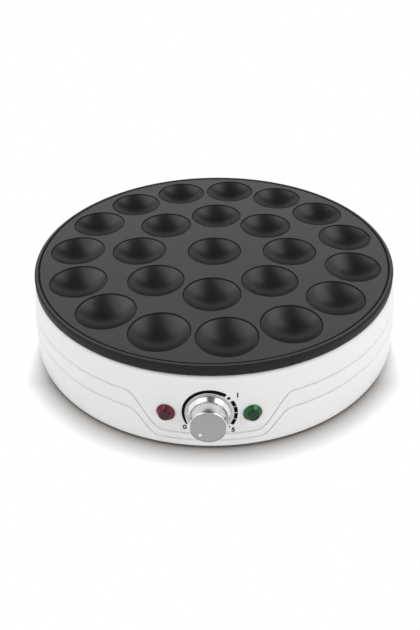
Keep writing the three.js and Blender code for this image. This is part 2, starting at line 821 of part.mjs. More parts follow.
function baseCover() {
  const edge = wallRadius(0) - wallThickness - coverClearance;
  let solid = solidOf(bar(edge, 0, coverThickness, drumSides));
  for (let i = 0; i < ventCount; i += 1) {
    const azimuth = ((i + 1 / 2) * fullTurn) / ventCount;
    const place = polar(ventRing, azimuth, 0);
    const vent = ventCutter().rotateZ(azimuth).translate(place.x, place.y, 0);
    solid = solid.subtract(solidOf(vent));
  }
  for (const { x, y } of coverScrewPlaces) {
    const hole = countersunk(coverScrewRadius + screwGap, coverScrewHeadRadius + 2 * screwGap,
      coverScrewHeadHeight + screwGap, -seatGap, coverThickness + cutOverrun);
    solid = solid.subtract(solidOf(hole.translate(x, y, 0)));
  }
  for (const { x, y } of footPlaces) {
    const hole = bar(footNeckRadius + seatGap, -cutOverrun, coverThickness + cutOverrun, shaftSides);
    solid = solid.subtract(solidOf(hole.translate(x, y, 0)));
  }
  const blockHole = bar(blockScrewRadius + screwGap, coverThickness - blockScrewBite - seatGap,
    coverThickness + cutOverrun, smallSides);
  return solid.subtract(solidOf(blockHole.translate(0, blockY, 0)));
}

add('base_cover', baseCover(), blackPlastic);

coverScrewPlaces.forEach(({ x, y }, index) => {
  const shape = countersunk(coverScrewRadius, coverScrewHeadRadius, coverScrewHeadHeight, 0,
    coverBossFoot + coverScrewBite);
  add(`cover_screw_${index + 1}`, solidOf(shape.translate(x, y, 0)), steel);
});

footPlaces.forEach(({ x, y }, index) => {
  const barbLow = coverThickness + seatGap;
  const shape = turned([
    [0, -footHeight],
    [footRadius - footEdge, -footHeight],
    [footRadius, footEdge - footHeight],
    [footRadius, -seatGap],
    [footNeckRadius, -seatGap],
    [footNeckRadius, barbLow],
    [footBarbRadius, barbLow],
    [footNeckRadius, barbLow + footBarbHeight],
    [0, barbLow + footBarbHeight],
  ], shaftSides);
  add(`rubber_foot_${index + 1}`, solidOf(shape.translate(x, y, 0)), blackRubber);
});

// Dial: the fixed trim ring, then the knob and what turns with it
const dial = groupAt(dialPlace);
const trimBack = dialSeatHeight + seatGap;
const trimFront = trimBack + trimThickness;
const knobBack = trimFront + seatGap;
const bushFront = dialSeatHeight + seatGap + nutThickness + seatGap;
const hubBack = bushFront + seatGap;
const webBack = knobLength - knobFaceRecess - knobWeb;
add('knob_trim_ring', solidOf(pipe(trimBore, trimRadius, trimBack, trimFront, knobSides)), satinMetal, dial);

function knob() {
  const cavityRadius = knobBarrelRadius - knobWall;
  return solidOf(turned([
    [0, webBack],
    [bushBore, webBack],
    [bushBore, hubBack],
    [knobHubRadius, hubBack],
    [knobHubRadius, webBack],
    [cavityRadius, webBack],
    [cavityRadius, knobBack],
    [knobSkirtRadius, knobBack],
    [knobSkirtRadius, knobBack + knobSkirtEdge],
    [knobBarrelRadius, knobSkirtTop],
    [knobFrontRadius, knobLength - knobFrontChamfer],
    [knobFrontRadius - knobFrontChamfer, knobLength],
    [knobFaceRadius + seatGap / 2, knobLength],
    [knobFaceRadius + seatGap / 2, knobLength - knobFaceRecess],
    [0, knobLength - knobFaceRecess],
  ], knobSides));
}

function knobFace() {
  const back = knobLength - knobFaceRecess + seatGap;
  const disc = bar(knobFaceRadius - seatGap / 2, back, knobLength, knobSides);
  const dimple = bar(indexRadius, knobLength - indexDepth, knobLength + cutOverrun, smallSides);
  const [x, y] = [indexRing * Math.cos(dialOffAngle), indexRing * Math.sin(dialOffAngle)];
  return solidOf(disc).subtract(solidOf(dimple.translate(x, y, 0)));
}

add('knob', knob(), chrome, dial);
add('knob_face', knobFace(), satinMetal, dial);

// Thermostat behind the wall, its threaded bush through it, and the shaft with its flat for the knob
const collarFront = -(wallThickness + 2 * seatGap);
const bodyFront = collarFront - collarLength;
const bodyBack = bodyFront - thermostatDepth;
const shaftBack = bodyFront - shaftTail;
const shaftFront = webBack - seatGap;
const flatFace = shaftRadius - shaftFlatDepth;

function thermostatBody() {
  const body = block(thermostatWidth, thermostatHeight, thermostatDepth, 0, 0, (bodyFront + bodyBack) / 2);
  const neck = bar(bushRadius, bodyFront - cutOverrun, bushFront, shaftSides);
  const collar = bar(collarRadius, bodyFront - cutOverrun, collarFront, shaftSides);
  const bore = bar(bushBore, shaftBack - seatGap, bushFront + cutOverrun, shaftSides);
  return solidOf(body).add(solidOf(neck)).add(solidOf(collar)).subtract(solidOf(bore));
}

function panelNut() {
  const nut = bar(bushRadius + seatGap + nutRim, dialSeatHeight + seatGap,
    dialSeatHeight + seatGap + nutThickness, hexSides);
  const hole = bar(bushRadius + seatGap, -cutOverrun, bushFront + cutOverrun, shaftSides);
  return solidOf(nut).subtract(solidOf(hole));
}

function dialShaft() {
  const shaft = bar(shaftRadius, shaftBack, shaftFront, shaftSides);
  const length = shaftFront - hubBack;
  const flat = block(shaftFlatDepth + cutOverrun, 2 * (shaftRadius + cutOverrun), length + cutOverrun,
    flatFace + (shaftFlatDepth + cutOverrun) / 2, 0, hubBack + (length + cutOverrun) / 2);
  return solidOf(shaft).subtract(solidOf(flat));
}

add('thermostat_body', thermostatBody(), ceramic, dial);
add('thermostat_nut', panelNut(), brass, dial);
add('dial_shaft', dialShaft(), brightSteel, dial);

const clipLength = shaftFront - hubBack - 2 * seatGap;
const clipMiddle = (shaftFront + hubBack) / 2;
add('knob_clip', solidOf(block(clipThickness, clipWidth, clipLength,
  flatFace + seatGap + clipThickness / 2, 0, clipMiddle)), brightSteel, dial);

const bladeZ = bodyBack - seatGap - bladeThickness / 2;
const bladeX = bladeWidth / 2 + seatGap;
const bimetalLength = thermostatHeight / 2 - bladeFoot - bimetalInset;
add('bimetal_strip', solidOf(block(bladeWidth, bimetalLength, bladeThickness,
  -bladeX, bladeFoot + bimetalLength / 2, bladeZ)), brass, dial);
add('contact_blade', solidOf(block(bladeWidth, bladeLength, bladeThickness,
  bladeX, bladeFoot + bladeLength / 2, bladeZ)), brass, dial);

const tabZ = bodyBack - seatGap - tabLength / 2;
['live', 'switched'].forEach((name, index) => {
  const tab = block(tabWidth, tabThickness, tabLength, (index - 1 / 2) * tabSpacing, -tabDrop, tabZ);
  add(`thermostat_tab_${name}`, solidOf(tab), brass, dial);
});

// Pilot lamps: lens, bulb and retainer at each side of the dial
const lensBore = lensBodyRadius - lensWall;
const bulbRadius = lensBore - seatGap;

function lampLens() {
  const flangeBack = seatGap;
  const flangeFront = flangeBack + lensFlangeEdge;
  return turned([
    [0, flangeFront],
    [lensBore, flangeFront],
    [lensBore, -lensBodyLength],
    [lensBodyRadius, -lensBodyLength],
    [lensBodyRadius, flangeBack],
    [lensFlangeRadius, flangeBack],
    [lensFlangeRadius, flangeFront],
    [lensFrontRadius + lensBossDraft, lensBossFoot],
    [lensFrontRadius, lensFrontHeight],
    [0, lensFrontHeight],
  ], shaftSides);
}

function lampBulb() {
  const front = lensFlangeEdge;
  return turned([
    [0, -bulbLength],
    [bulbRadius, -bulbLength],
    [bulbRadius, front - (bulbRadius - bulbTipRadius)],
    [bulbTipRadius, front],
    [0, front],
  ], smallSides);
}

['red', 'green'].forEach((name, index) => {
  const group = groupAt(lampPlaces[index]);
  const retainerBore = lensBodyRadius + seatGap;
  const retainerFront = -(wallThickness + 2 * seatGap);
  add(`lens_${name}`, solidOf(lampLens()), name === 'red' ? redLens : greenLens, group);
  add(`bulb_${name}`, solidOf(lampBulb()), clearGlass, group);
  add(`lamp_retainer_${name}`, solidOf(pipe(retainerBore, retainerBore + lampRetainerWidth,
    retainerFront - lampRetainerThickness, retainerFront, shaftSides)), brightSteel, group);
});

// Cord gland in the back wall, and its nut inside
const gland = groupAt(glandPlace);
const glandBack = glandSeatHeight + seatGap;
const glandFront = glandBack + glandFlangeThickness;
add('cord_gland', solidOf(turned([
  [glandBore, -glandNeckLength],
  [glandNeckRadius, -glandNeckLength],
  [glandNeckRadius, glandBack],
  [glandFlangeRadius, glandBack],
  [glandFlangeRadius, glandFront - glandEdge],
  [glandFlangeRadius - glandEdge, glandFront],
  [glandBore + glandEdge, glandFront],
  [glandBore, glandFront - glandEdge],
  [glandBore, -glandNeckLength],
], shaftSides)), blackPlastic, gland);
const glandWallBack = glandNutRadius * Math.tan(wallLean(glandHeight)) + wallThickness + 2 * seatGap;
const glandNut = bar(glandNutRadius, -glandWallBack - glandNutThickness, -glandWallBack, hexSides);
const glandNutHole = bar(glandNeckRadius + seatGap, -glandWallBack - glandNutThickness - cutOverrun, 0,
  shaftSides);
add('cord_gland_nut', solidOf(glandNut).subtract(solidOf(glandNutHole)), blackPlastic, gland);

// Terminal block on the base cover
const blockLow = coverThickness + seatGap;
const blockTop = blockLow + blockHeight;

function terminalBlock() {
  const body = block(blockWidth, blockDepth, blockHeight, 0, blockY, (blockLow + blockTop) / 2);
  const hole = bar(blockScrewRadius + screwGap, blockLow - cutOverrun, blockTop + cutOverrun, smallSides);
  return solidOf(body).subtract(solidOf(hole.translate(0, blockY, 0)));
}

add('terminal_block', terminalBlock(), ceramic);
const blockScrewTip = coverThickness - blockScrewBite;
const blockScrew = screw(blockScrewRadius, blockScrewHeadRadius, blockScrewHeadHeight, 0,
  blockTop + seatGap + blockScrewHeadHeight - blockScrewTip);
add('terminal_block_screw', solidOf(blockScrew.rotateX(Math.PI)
  .translate(0, blockY, blockTop + seatGap + blockScrewHeadHeight)), steel);

// Thermal fuse under the heat shield, in a clip on one screw
const fuse = groupAt(new THREE.Matrix4().setPosition(fusePlace.x, fusePlace.y, 0));
const fuseHeight = shieldFloorUnder - seatGap - fuseRadius;
const fuseClipLow = fuseHeight - fuseRadius - seatGap;
const fuseClipFootTop = shieldFloorUnder - seatGap;
const fuseClipInner = fuseRadius + seatGap;
const fuseClipOuter = fuseClipInner + fuseClipThickness;
add('thermal_fuse', solidOf(bar(fuseRadius, -fuseLength / 2, fuseLength / 2, smallSides)
  .rotateX(quarterTurn).translate(0, 0, fuseHeight)), brightSteel, fuse);

function fuseClip() {
  const footEnd = fuseClipFoot + fuseClipWidth / 2;
  const clip = solidOf(strip([
    [-fuseClipOuter, fuseClipLow - fuseClipThickness],
    [fuseClipOuter, fuseClipLow - fuseClipThickness],
    [fuseClipOuter, fuseClipFootTop - fuseClipThickness],
    [footEnd, fuseClipFootTop - fuseClipThickness],
    [footEnd, fuseClipFootTop],
    [fuseClipInner, fuseClipFootTop],
    [fuseClipInner, fuseClipLow],
    [-fuseClipInner, fuseClipLow],
    [-fuseClipInner, fuseHeight],
    [-fuseClipOuter, fuseHeight],
  ], fuseClipWidth));
  const hole = bar(fuseScrewRadius + screwGap, fuseClipLow, shieldFloorTop, smallSides);
  return clip.subtract(solidOf(hole.translate(fuseClipFoot, 0, 0)));
}

add('fuse_clip', fuseClip(), brightSteel, fuse);
const fuseScrewLow = fuseClipFootTop - fuseClipThickness - seatGap - fuseScrewHeadHeight;
add('fuse_screw', solidOf(screw(fuseScrewRadius, fuseScrewHeadRadius, fuseScrewHeadHeight, fuseScrewLow,
  shieldFloorTop + seatGap).translate(fuseClipFoot, 0, 0)), steel, fuse);

// Internal wires: a stub out of each terminal, and between them a lane round the middle of the drum

function wirePath(start, startWay, end, endWay, lane) {
  const from = Math.atan2(start.y, start.x);
  const bearing = Math.atan2(end.y, end.x);
  const sweep = lane.sense * THREE.MathUtils.euclideanModulo(lane.sense * (bearing - from), fullTurn);
  const points = [start, start.clone().addScaledVector(startWay, wireStub)];
  for (let i = 1; i < laneSteps; i += 1) {
    points.push(polar(lane.radius, from + (sweep * i) / laneSteps, lane.height));
  }
  points.push(end.clone().addScaledVector(endWay, wireStub), end);
  return new THREE.CatmullRomCurve3(points, false, 'centripetal');
}

const [westWay, downWay] = [new THREE.Vector3(-1, 0, 0), new THREE.Vector3(0, 0, -1)];
const [frontWay, backWay] = [new THREE.Vector3(0, -1, 0), new THREE.Vector3(0, 1, 0)];
const wireHeight = (blockLow + blockTop) / 2;
const blockWest = new THREE.Vector3(-blockWidth / 2 - seatGap, blockY, wireHeight);
const blockFront = new THREE.Vector3(-blockWidth / 4, blockY - blockDepth / 2 - seatGap, wireHeight);
const [liveTab, switchedTab] = [-1 / 2, 1 / 2].map((share) => new THREE.Vector3(share * tabSpacing, -tabDrop,
  tabZ - tabLength / 2 - seatGap).applyMatrix4(dialPlace));
const [westPin, eastPin] = [1, -1].map((side) => polar(elementRing, quarterTurn + side * pinAngle,
  pinFoot - seatGap));
const [fuseBack, fuseFront] = [1, -1].map((side) => new THREE.Vector3(fusePlace.x,
  fusePlace.y + side * (fuseLength / 2 + seatGap), fuseHeight));
const liveLane = { radius: liveLaneRadius, height: floorLane, sense: 1 };
const switchedLane = { radius: switchedLaneRadius, height: floorLane, sense: -1 };
const neutralLane = { radius: neutralLaneRadius, height: floorLane, sense: 1 };
const fuseLane = { radius: returnLaneRadius, height: returnLane, sense: -1 };
const wires = {
  wire_live: wirePath(blockWest, westWay, liveTab, backWay, liveLane),
  wire_switched: wirePath(eastPin, downWay, switchedTab, backWay, switchedLane),
  wire_neutral: wirePath(blockFront, frontWay, fuseBack, backWay, neutralLane),
  wire_return: wirePath(fuseFront, frontWay, westPin, downWay, fuseLane),
};
for (const [name, path] of Object.entries(wires)) {
  add(name, solidOf(tube(path, wireRadius, wireSides, wireSteps)),
    name === 'wire_live' ? redInsulation : whiteInsulation);
}

export default pancakeMaker;
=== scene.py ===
"""Looks of a round mini pancake maker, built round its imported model.

Lengths are metres and angles are radians. +Z is up and the front faces -Y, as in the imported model.
"""

import logging
import math
from dataclasses import dataclass, replace
from enum import Enum
from typing import Callable, Iterable, Optional, Sequence, Union

import bmesh
import bpy
from mathutils import Matrix, Quaternion, Vector


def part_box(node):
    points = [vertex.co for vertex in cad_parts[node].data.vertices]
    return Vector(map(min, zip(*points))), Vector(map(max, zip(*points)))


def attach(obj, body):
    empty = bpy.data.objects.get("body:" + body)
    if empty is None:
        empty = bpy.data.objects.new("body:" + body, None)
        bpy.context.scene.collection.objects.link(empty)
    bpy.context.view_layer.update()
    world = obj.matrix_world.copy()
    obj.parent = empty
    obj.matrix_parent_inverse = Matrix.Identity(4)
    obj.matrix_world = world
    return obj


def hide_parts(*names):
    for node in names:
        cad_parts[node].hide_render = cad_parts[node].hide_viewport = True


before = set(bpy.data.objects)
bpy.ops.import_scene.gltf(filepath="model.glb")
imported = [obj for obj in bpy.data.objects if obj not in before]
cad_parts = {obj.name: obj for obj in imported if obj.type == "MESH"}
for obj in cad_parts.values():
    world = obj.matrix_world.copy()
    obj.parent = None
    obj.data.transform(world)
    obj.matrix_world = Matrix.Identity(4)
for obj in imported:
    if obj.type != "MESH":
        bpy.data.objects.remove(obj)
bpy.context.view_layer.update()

log = logging.getLogger("pancake_maker")

FULL_TURN = 2 * math.pi
QUARTER_TURN = math.pi / 2
FRONT = -QUARTER_TURN
UP = Vector((0.0, 0.0, 1.0))
WELD = 1e-6
SEAT_GAP = 0.0003
BASE = "base"
DIAL = "dial"

BMesh = bmesh.types.BMesh
Point = tuple[float, float]
Colour = tuple[float, float, float]


class Pattern(Enum):
    """Fine structure of a finish."""

    EVEN = "even"
    SPRAYED = "sprayed"
    TURNED = "turned"
    ROLLED = "rolled"
    FIRED = "fired"


@dataclass(frozen=True)
class Finish:
    """How one material looks.

    Attributes:
        name: name of the material.
        slot: the record's material slot, which nothing here uses.
        colour: linear base colour.
        roughness: middle of its roughness.
        metallic: 1 for bare metal.
        pattern: fine structure.
        grain: size of the fine structure, in metres.
        relief: height of the fine structure, in metres.
        colour_spread: how much the colour varies, as a share.
        roughness_spread: how much the roughness varies.
        specular: strength of the plain reflection.
        transmission: share of light let through.
    """

    name: str
    slot: str
    colour: Colour
    roughness: float
    metallic: float = 0.0
    pattern: Pattern = Pattern.EVEN
    grain: float = 0.001
    relief: float = 0.00001
    colour_spread: float = 0.05
    roughness_spread: float = 0.06
    specular: float = 0.5
    transmission: float = 0.0


PLATE_FACE = Finish("plate_face_coating", "nonstick_plate", (0.055, 0.055, 0.0555), 0.38,
                    pattern=Pattern.SPRAYED, grain=0.0006, relief=0.000012, colour_spread=0.16,
                    roughness_spread=0.05, specular=0.55)
# Painted shade: a darker copy of the face's coating that paints the shade in the cups.
CUP_PAINTED_SHADE = Finish("cup_painted_shade", "nonstick_plate", (0.0065, 0.0065, 0.0065), 0.35,
                     pattern=Pattern.SPRAYED, grain=0.0006, relief=0.000008, colour_spread=0.2,
                     roughness_spread=0.05, specular=0.6)
# Painted shade: a near-black line round each cup's rounded edge.
CUP_EDGE_PAINTED_SHADE = Finish("cup_edge_painted_shade", "nonstick_plate", (0.008, 0.008, 0.008), 0.6,
                  pattern=Pattern.SPRAYED, grain=0.0006, relief=0.000008, colour_spread=0.2,
                  specular=0.1)
# Painted shade: a darker copy of the coating for the groove, the lip's side and the skirt.
SKIRT_PAINTED_SHADE = Finish("skirt_painted_shade", "nonstick_plate", (0.014, 0.014, 0.0145), 0.5,
                       pattern=Pattern.SPRAYED, grain=0.0006, relief=0.000014,
                       colour_spread=0.16, specular=0.15)
WHITE_PLASTIC = Finish("white_plastic", "white_plastic", (0.84, 0.84, 0.837), 0.34,
                       grain=0.0007, relief=0.000004, colour_spread=0.012,
                       roughness_spread=0.05, specular=0.45)
BLACK_PRINT = Finish("black_print", "white_plastic", (0.003, 0.003, 0.003), 0.6,
                     grain=0.0003, relief=0.000003, colour_spread=0.2, specular=0.06)
CHROME = Finish("chrome", "chrome_knob", (0.82, 0.82, 0.83), 0.2, 1.0,
                grain=0.004, relief=0.0, colour_spread=0.02, roughness_spread=0.04)
TURNED_FACE = Finish("turned_metal", "satin_metal", (0.365, 0.365, 0.365), 0.42, 0.75,
                     Pattern.TURNED, grain=0.00022, relief=0.000006)
TURNED_RING = Finish("turned_ring", "satin_metal", (0.52, 0.52, 0.52), 0.3, 1.0,
                     Pattern.TURNED, grain=0.0003, relief=0.000004)
STEEL = Finish("plated_steel", "steel", (0.42, 0.42, 0.43), 0.36, 1.0, Pattern.ROLLED,
               grain=0.0006, relief=0.000006, colour_spread=0.12)
SHEET = Finish("bright_sheet", "bright_sheet", (0.6, 0.6, 0.61), 0.34, 1.0, Pattern.ROLLED,
               grain=0.0008, relief=0.000006, colour_spread=0.1)
BRASS = Finish("plain_brass", "brass", (0.6, 0.42, 0.17), 0.32, 1.0, Pattern.ROLLED,
               grain=0.0006, relief=0.000005, colour_spread=0.15)
CERAMIC = Finish("white_ceramic", "ceramic", (0.74, 0.71, 0.64), 0.55, pattern=Pattern.FIRED,
                 grain=0.0006, relief=0.00002, colour_spread=0.06)
BLACK_PLASTIC = Finish("black_plastic", "black_plastic", (0.018, 0.018, 0.019), 0.5,
                       grain=0.0005, relief=0.00002, colour_spread=0.15, roughness_spread=0.08)
RUBBER = Finish("black_rubber", "black_rubber", (0.014, 0.014, 0.014), 0.78,
                grain=0.0007, relief=0.00003, colour_spread=0.25, specular=0.3)
RED_LENS = Finish("red_lens", "red_lens", (0.15, 0.028, 0.042), 0.1, 0.9,
                  grain=0.002, relief=0.000003, roughness_spread=0.03)
RED_FRONT = Finish("red_lens_front", "red_lens", (0.05, 0.009, 0.013), 0.3,
                   grain=0.002, relief=0.000003, specular=0.3)
GREEN_LENS = replace(RED_LENS, name="green_lens", slot="green_lens", colour=(0.03, 0.125, 0.046))
GREEN_FRONT = replace(RED_FRONT, name="green_lens_front", slot="green_lens",
                      colour=(0.009, 0.035, 0.014))
LAMP_GLASS = Finish("lamp_glass", "lamp_glass", (0.85, 0.8, 0.76), 0.05,
                    grain=0.002, relief=0.0, transmission=0.9)
RED_WIRE = Finish("red_wire", "red_wire", (0.28, 0.028, 0.02), 0.5,
                  grain=0.0006, colour_spread=0.1)
WHITE_WIRE = Finish("white_wire", "white_wire", (0.7, 0.68, 0.63), 0.5,
                    grain=0.0006, colour_spread=0.06)


class Signal:
    """A shader socket that takes part in Python arithmetic."""

    def __init__(self, graph: "Graph", socket: bpy.types.NodeSocket) -> None:
        """Keeps the socket and the graph that new Math nodes go into."""
        self.graph = graph
        self.socket = socket

    def _math(self, operation: str, first: "Value", second: "Value") -> "Signal":
        """The result of a new Math node."""
        return self.graph.signal("ShaderNodeMath", 0, {"operation": operation},
                                 {0: first, 1: second})

    def __add__(self, other: "Value") -> "Signal":
        """Sum."""
        return self._math("ADD", self, other)

    __radd__ = __add__

    def __sub__(self, other: "Value") -> "Signal":
        """Difference."""
        return self._math("SUBTRACT", self, other)

    def __rsub__(self, other: "Value") -> "Signal":
        """Difference the other way round."""
        return self._math("SUBTRACT", other, self)

    def __mul__(self, other: "Value") -> "Signal":
        """Product."""
        return self._math("MULTIPLY", self, other)

    __rmul__ = __mul__

    def __truediv__(self, other: "Value") -> "Signal":
        """Quotient."""
        return self._math("DIVIDE", self, other)

    def __pow__(self, other: "Value") -> "Signal":
        """Power."""
        return self._math("POWER", self, other)

    def clamped(self) -> "Signal":
        """The value held between 0 and 1."""
        return self._math("MINIMUM", self._math("MAXIMUM", self, 0.0), 1.0)

    def mixed(self, other: "Signal", share: "Value") -> "Signal":
        """This value and another, mixed so that this one has the given share."""
        return self * share + other * (1 - share)


Value = Union[Signal, bpy.types.NodeSocket, float, Sequence[float]]
Settings = dict[str, object]
Inputs = dict[Union[str, int], Value]


class Graph:
    """A node tree that is filled node by node."""

    NOISE_ROUGHNESS = 0.55

    def __init__(self, tree: bpy.types.NodeTree) -> None:
        """Keeps the node tree of a material or of the world, and empties it."""
        self.tree = tree
        tree.nodes.clear()

    def node(self, kind: str, settings: Optional[Settings] = None,
             inputs: Optional[Inputs] = None) -> bpy.types.Node:
        """Adds a node, sets it up and feeds its sockets.

        Args:
            kind: the node's type name.
            settings: properties that are set first; a list under "stops" fills a colour ramp.
            inputs: socket name or number to a value or a link.

        Returns:
            The new node.
        """
        made = self.tree.nodes.new(kind)
        for key, value in (settings or {}).items():
            if key == "stops":
                self._fill_ramp(made.color_ramp, value)
            else:
                setattr(made, key, value)
        for key, value in (inputs or {}).items():
            target = made.inputs[key]
            if isinstance(value, Signal):
                self.tree.links.new(value.socket, target)
            elif isinstance(value, bpy.types.NodeSocket):
                self.tree.links.new(value, target)
            else:
                target.default_value = value
        return made

    @staticmethod
    def _fill_ramp(ramp: bpy.types.ColorRamp, stops: Sequence[tuple[float, Colour]]) -> None:
        """Sets a ramp's stops.

        Args:
            ramp: the ramp.
            stops: position and colour of each.
        """
        while len(ramp.elements) < len(stops):
            ramp.elements.new(1.0)
        for element, (position, colour) in zip(ramp.elements, stops):
            element.position = position
            element.color = (*colour, 1.0)

    def signal(self, kind: str, output: Union[str, int], settings: Optional[Settings] = None,
               inputs: Optional[Inputs] = None) -> Signal:
        """Adds a node and wraps one of its outputs.

        Args:
            kind: the node's type name.
            output: which output carries the value.
            settings: properties that are set first.
            inputs: socket name or number to a value or a link.

        Returns:
            The wrapped output.
        """
        return Signal(self, self.node(kind, settings, inputs).outputs[output])

    def place(self) -> bpy.types.NodeSocket:
        """The object coordinates."""
        return self.node("ShaderNodeTexCoord").outputs["Object"]

    def noise(self, where: Value, size: float, detail: float = 2.0) -> Signal:
        """Noise from 0 to 1.

        Args:
            where: the place that it is read at.
            size: size of its features in metres.
            detail: number of finer layers.

        Returns:
            The noise.
        """
        return self.signal("ShaderNodeTexNoise", "Fac", {"noise_dimensions": "3D"}, {
            "Vector": where, "Scale": 1 / size, "Detail": detail,
            "Roughness": self.NOISE_ROUGHNESS})

    def from_axis(self, where: Value) -> Signal:
        """Distance of a place from the Z axis.

        Args:
            where: the place.

        Returns:
            The distance.
        """
        flat = self.node("ShaderNodeVectorMath", {"operation": "MULTIPLY"},
                         {0: where, 1: (1.0, 1.0, 0.0)}).outputs[0]
        return self.signal("ShaderNodeVectorMath", "Value", {"operation": "LENGTH"}, {0: flat})


class Workshop:
    """Makes each finish's material once.

    SPECK_SHARE, PIT_SHARE and the two SLOW_IN numbers are the part of the first of two mixed
    signals. CLOUD_GRAINS and PIT_GRAINS are sizes in grains. STREAK_SHARE stretches the grain of
    rolled metal.
    """

    DETAIL = 3.0
    SLOW_SIZE = 0.035
    SLOW_IN_COLOUR = 0.6
    SLOW_IN_ROUGHNESS = 0.5
    STREAK_SHARE = 0.06
    STREAK_DETAIL = 4.0
    RING_DETAIL = 4.0
    SPECK_SHARE = 0.7
    CLOUD_GRAINS = 6
    PIT_SHARE = 0.5
    PIT_GRAINS = 2

    def __init__(self) -> None:
        """Starts with no material."""
        self._made: dict[str, bpy.types.Material] = {}

    def material(self, finish: Finish, axis: Optional[Matrix] = None) -> bpy.types.Material:
        """The material of a finish.

        Args:
            finish: the finish.
            axis: where a turned finish's axis lies, its local Z along the axis.

        Returns:
            The material, made on first use.
        """
        if finish.name not in self._made:
            self._made[finish.name] = self._make(finish, axis)
        return self._made[finish.name]

    def _make(self, finish: Finish, axis: Optional[Matrix]) -> bpy.types.Material:
        """Builds a material's nodes.

        Args:
            finish: the finish.
            axis: where a turned finish's axis lies.

        Returns:
            The new material.
        """
        material = bpy.data.materials.new(finish.name)
        material.use_nodes = True
        material.diffuse_color = (*finish.colour, 1.0)
        graph = Graph(material.node_tree)
        place = graph.place()
        fine = self._fine(graph, finish, place, axis)
        slow = graph.noise(place, self.SLOW_SIZE, self.DETAIL)
        shade = (slow.mixed(fine, self.SLOW_IN_COLOUR) - 0.5) * finish.colour_spread + 1.0
        wear = (slow.mixed(fine, self.SLOW_IN_ROUGHNESS) - 0.5) * 2 * finish.roughness_spread
        inputs = {
            "Base Color": graph.node("ShaderNodeVectorMath", {"operation": "SCALE"},
                                     {0: finish.colour, "Scale": shade}).outputs[0],
            "Roughness": (wear + finish.roughness).clamped(),
            "Metallic": finish.metallic,
            "Specular IOR Level": finish.specular,
            "Transmission Weight": finish.transmission,
        }
        if finish.relief:
            inputs["Normal"] = graph.node("ShaderNodeBump", {}, {
                "Strength": 1.0, "Distance": finish.relief, "Height": fine}).outputs[0]
        shader = graph.node("ShaderNodeBsdfPrincipled", {}, inputs)
        graph.node("ShaderNodeOutputMaterial", {}, {0: shader.outputs[0]})
        return material

    def _fine(self, graph: Graph, finish: Finish, place: Value,
              axis: Optional[Matrix]) -> Signal:
        """Fine structure of a finish, from 0 to 1.

        Args:
            graph: the material's graph.
            finish: the finish.
            place: the object coordinates.
            axis: where a turned finish's axis lies.

        Returns:
            The structure.
        """
        if finish.pattern is Pattern.TURNED and axis is not None:
            return self._rings(graph, finish, place, axis)
        if finish.pattern is Pattern.ROLLED:
            streaks = graph.node("ShaderNodeMapping", {}, {
                "Vector": place, "Scale": (self.STREAK_SHARE, 1.0, 1.0)}).outputs[0]
            return graph.noise(streaks, finish.grain, self.STREAK_DETAIL)
        if finish.pattern is Pattern.SPRAYED:
            specks = graph.noise(place, finish.grain)
            clouds = graph.noise(place, finish.grain * self.CLOUD_GRAINS)
            return specks.mixed(clouds, self.SPECK_SHARE)
        if finish.pattern is Pattern.FIRED:
            pits = graph.signal("ShaderNodeTexVoronoi", "Distance", {"feature": "F1"},
                                {"Vector": place, "Scale": 1 / finish.grain})
            waves = graph.noise(place, finish.grain * self.PIT_GRAINS, self.DETAIL)
            return pits.mixed(waves, self.PIT_SHARE)
        return graph.noise(place, finish.grain, self.DETAIL)

    def _rings(self, graph: Graph, finish: Finish, place: Value, axis: Matrix) -> Signal:
        """Fine rings about an axis.

        Args:
            graph: the material's graph.
            finish: the finish.
            place: the object coordinates.
            axis: where the axis lies, its local Z along it.

        Returns:
            The rings, from 0 to 1.
        """
        turn = axis.to_3x3().inverted()
        shift = turn @ axis.translation
        centred = graph.node("ShaderNodeMapping", {"vector_type": "POINT"}, {
            "Vector": place, "Rotation": turn.to_euler(), "Location": tuple(-shift)}).outputs[0]
        return graph.signal("ShaderNodeTexNoise", "Fac", {"noise_dimensions": "1D"}, {
            "W": graph.from_axis(centred), "Scale": 1 / finish.grain,
            "Detail": self.RING_DETAIL})


def mesh_of(name: str, bm: BMesh) -> bpy.types.Mesh:
    """Puts a bmesh into a new mesh and frees it.

    Args:
        name: the mesh's name.
        bm: the bmesh, freed here.

    Returns:
        The mesh.
    """
    mesh = bpy.data.meshes.new(name)
    bm.to_mesh(mesh)
    bm.free()
    return mesh


def linked(name: str, data: bpy.types.ID) -> bpy.types.Object:
    """Makes an object of a mesh, curve, lamp or camera and links it to the scene.

    Args:
        name: the object's name.
        data: what it shows.

    Returns:
        The object.
    """
    made = bpy.data.objects.new(name, data)
    bpy.context.scene.collection.objects.link(made)
    return made


def evaluated(thing: bpy.types.Object) -> BMesh:
    """The mesh of an object with its modifiers, or of a text object.

    Args:
        thing: the object, already linked to the scene.

    Returns:
        Its mesh as a bmesh.
    """
    bpy.context.view_layer.update()
    bm = bmesh.new()
    bm.from_mesh(thing.evaluated_get(bpy.context.evaluated_depsgraph_get()).to_mesh())
    return bm


def join(target: BMesh, *others: BMesh) -> BMesh:
    """Adds other meshes to a mesh and frees them.

    Args:
        target: the mesh that grows.
        others: the meshes that are added.

    Returns:
        The grown mesh.
    """
    for other in others:
        carrier = mesh_of("carrier", other)
        target.from_mesh(carrier)
        bpy.data.meshes.remove(carrier)
    return target


def smooth(bm: BMesh) -> None:
    """Shades a mesh smooth."""
    for face in bm.faces:
        face.smooth = True


def outwards(bm: BMesh) -> BMesh:
    """Turns a mesh's faces outwards, and returns it."""
    bmesh.ops.recalc_face_normals(bm, faces=bm.faces)
    return bm


def polar(radius: float, azimuth: float, height: float = 0.0) -> Vector:
    """A point from its radius, azimuth and height."""
    return Vector((radius * math.cos(azimuth), radius * math.sin(azimuth), height))


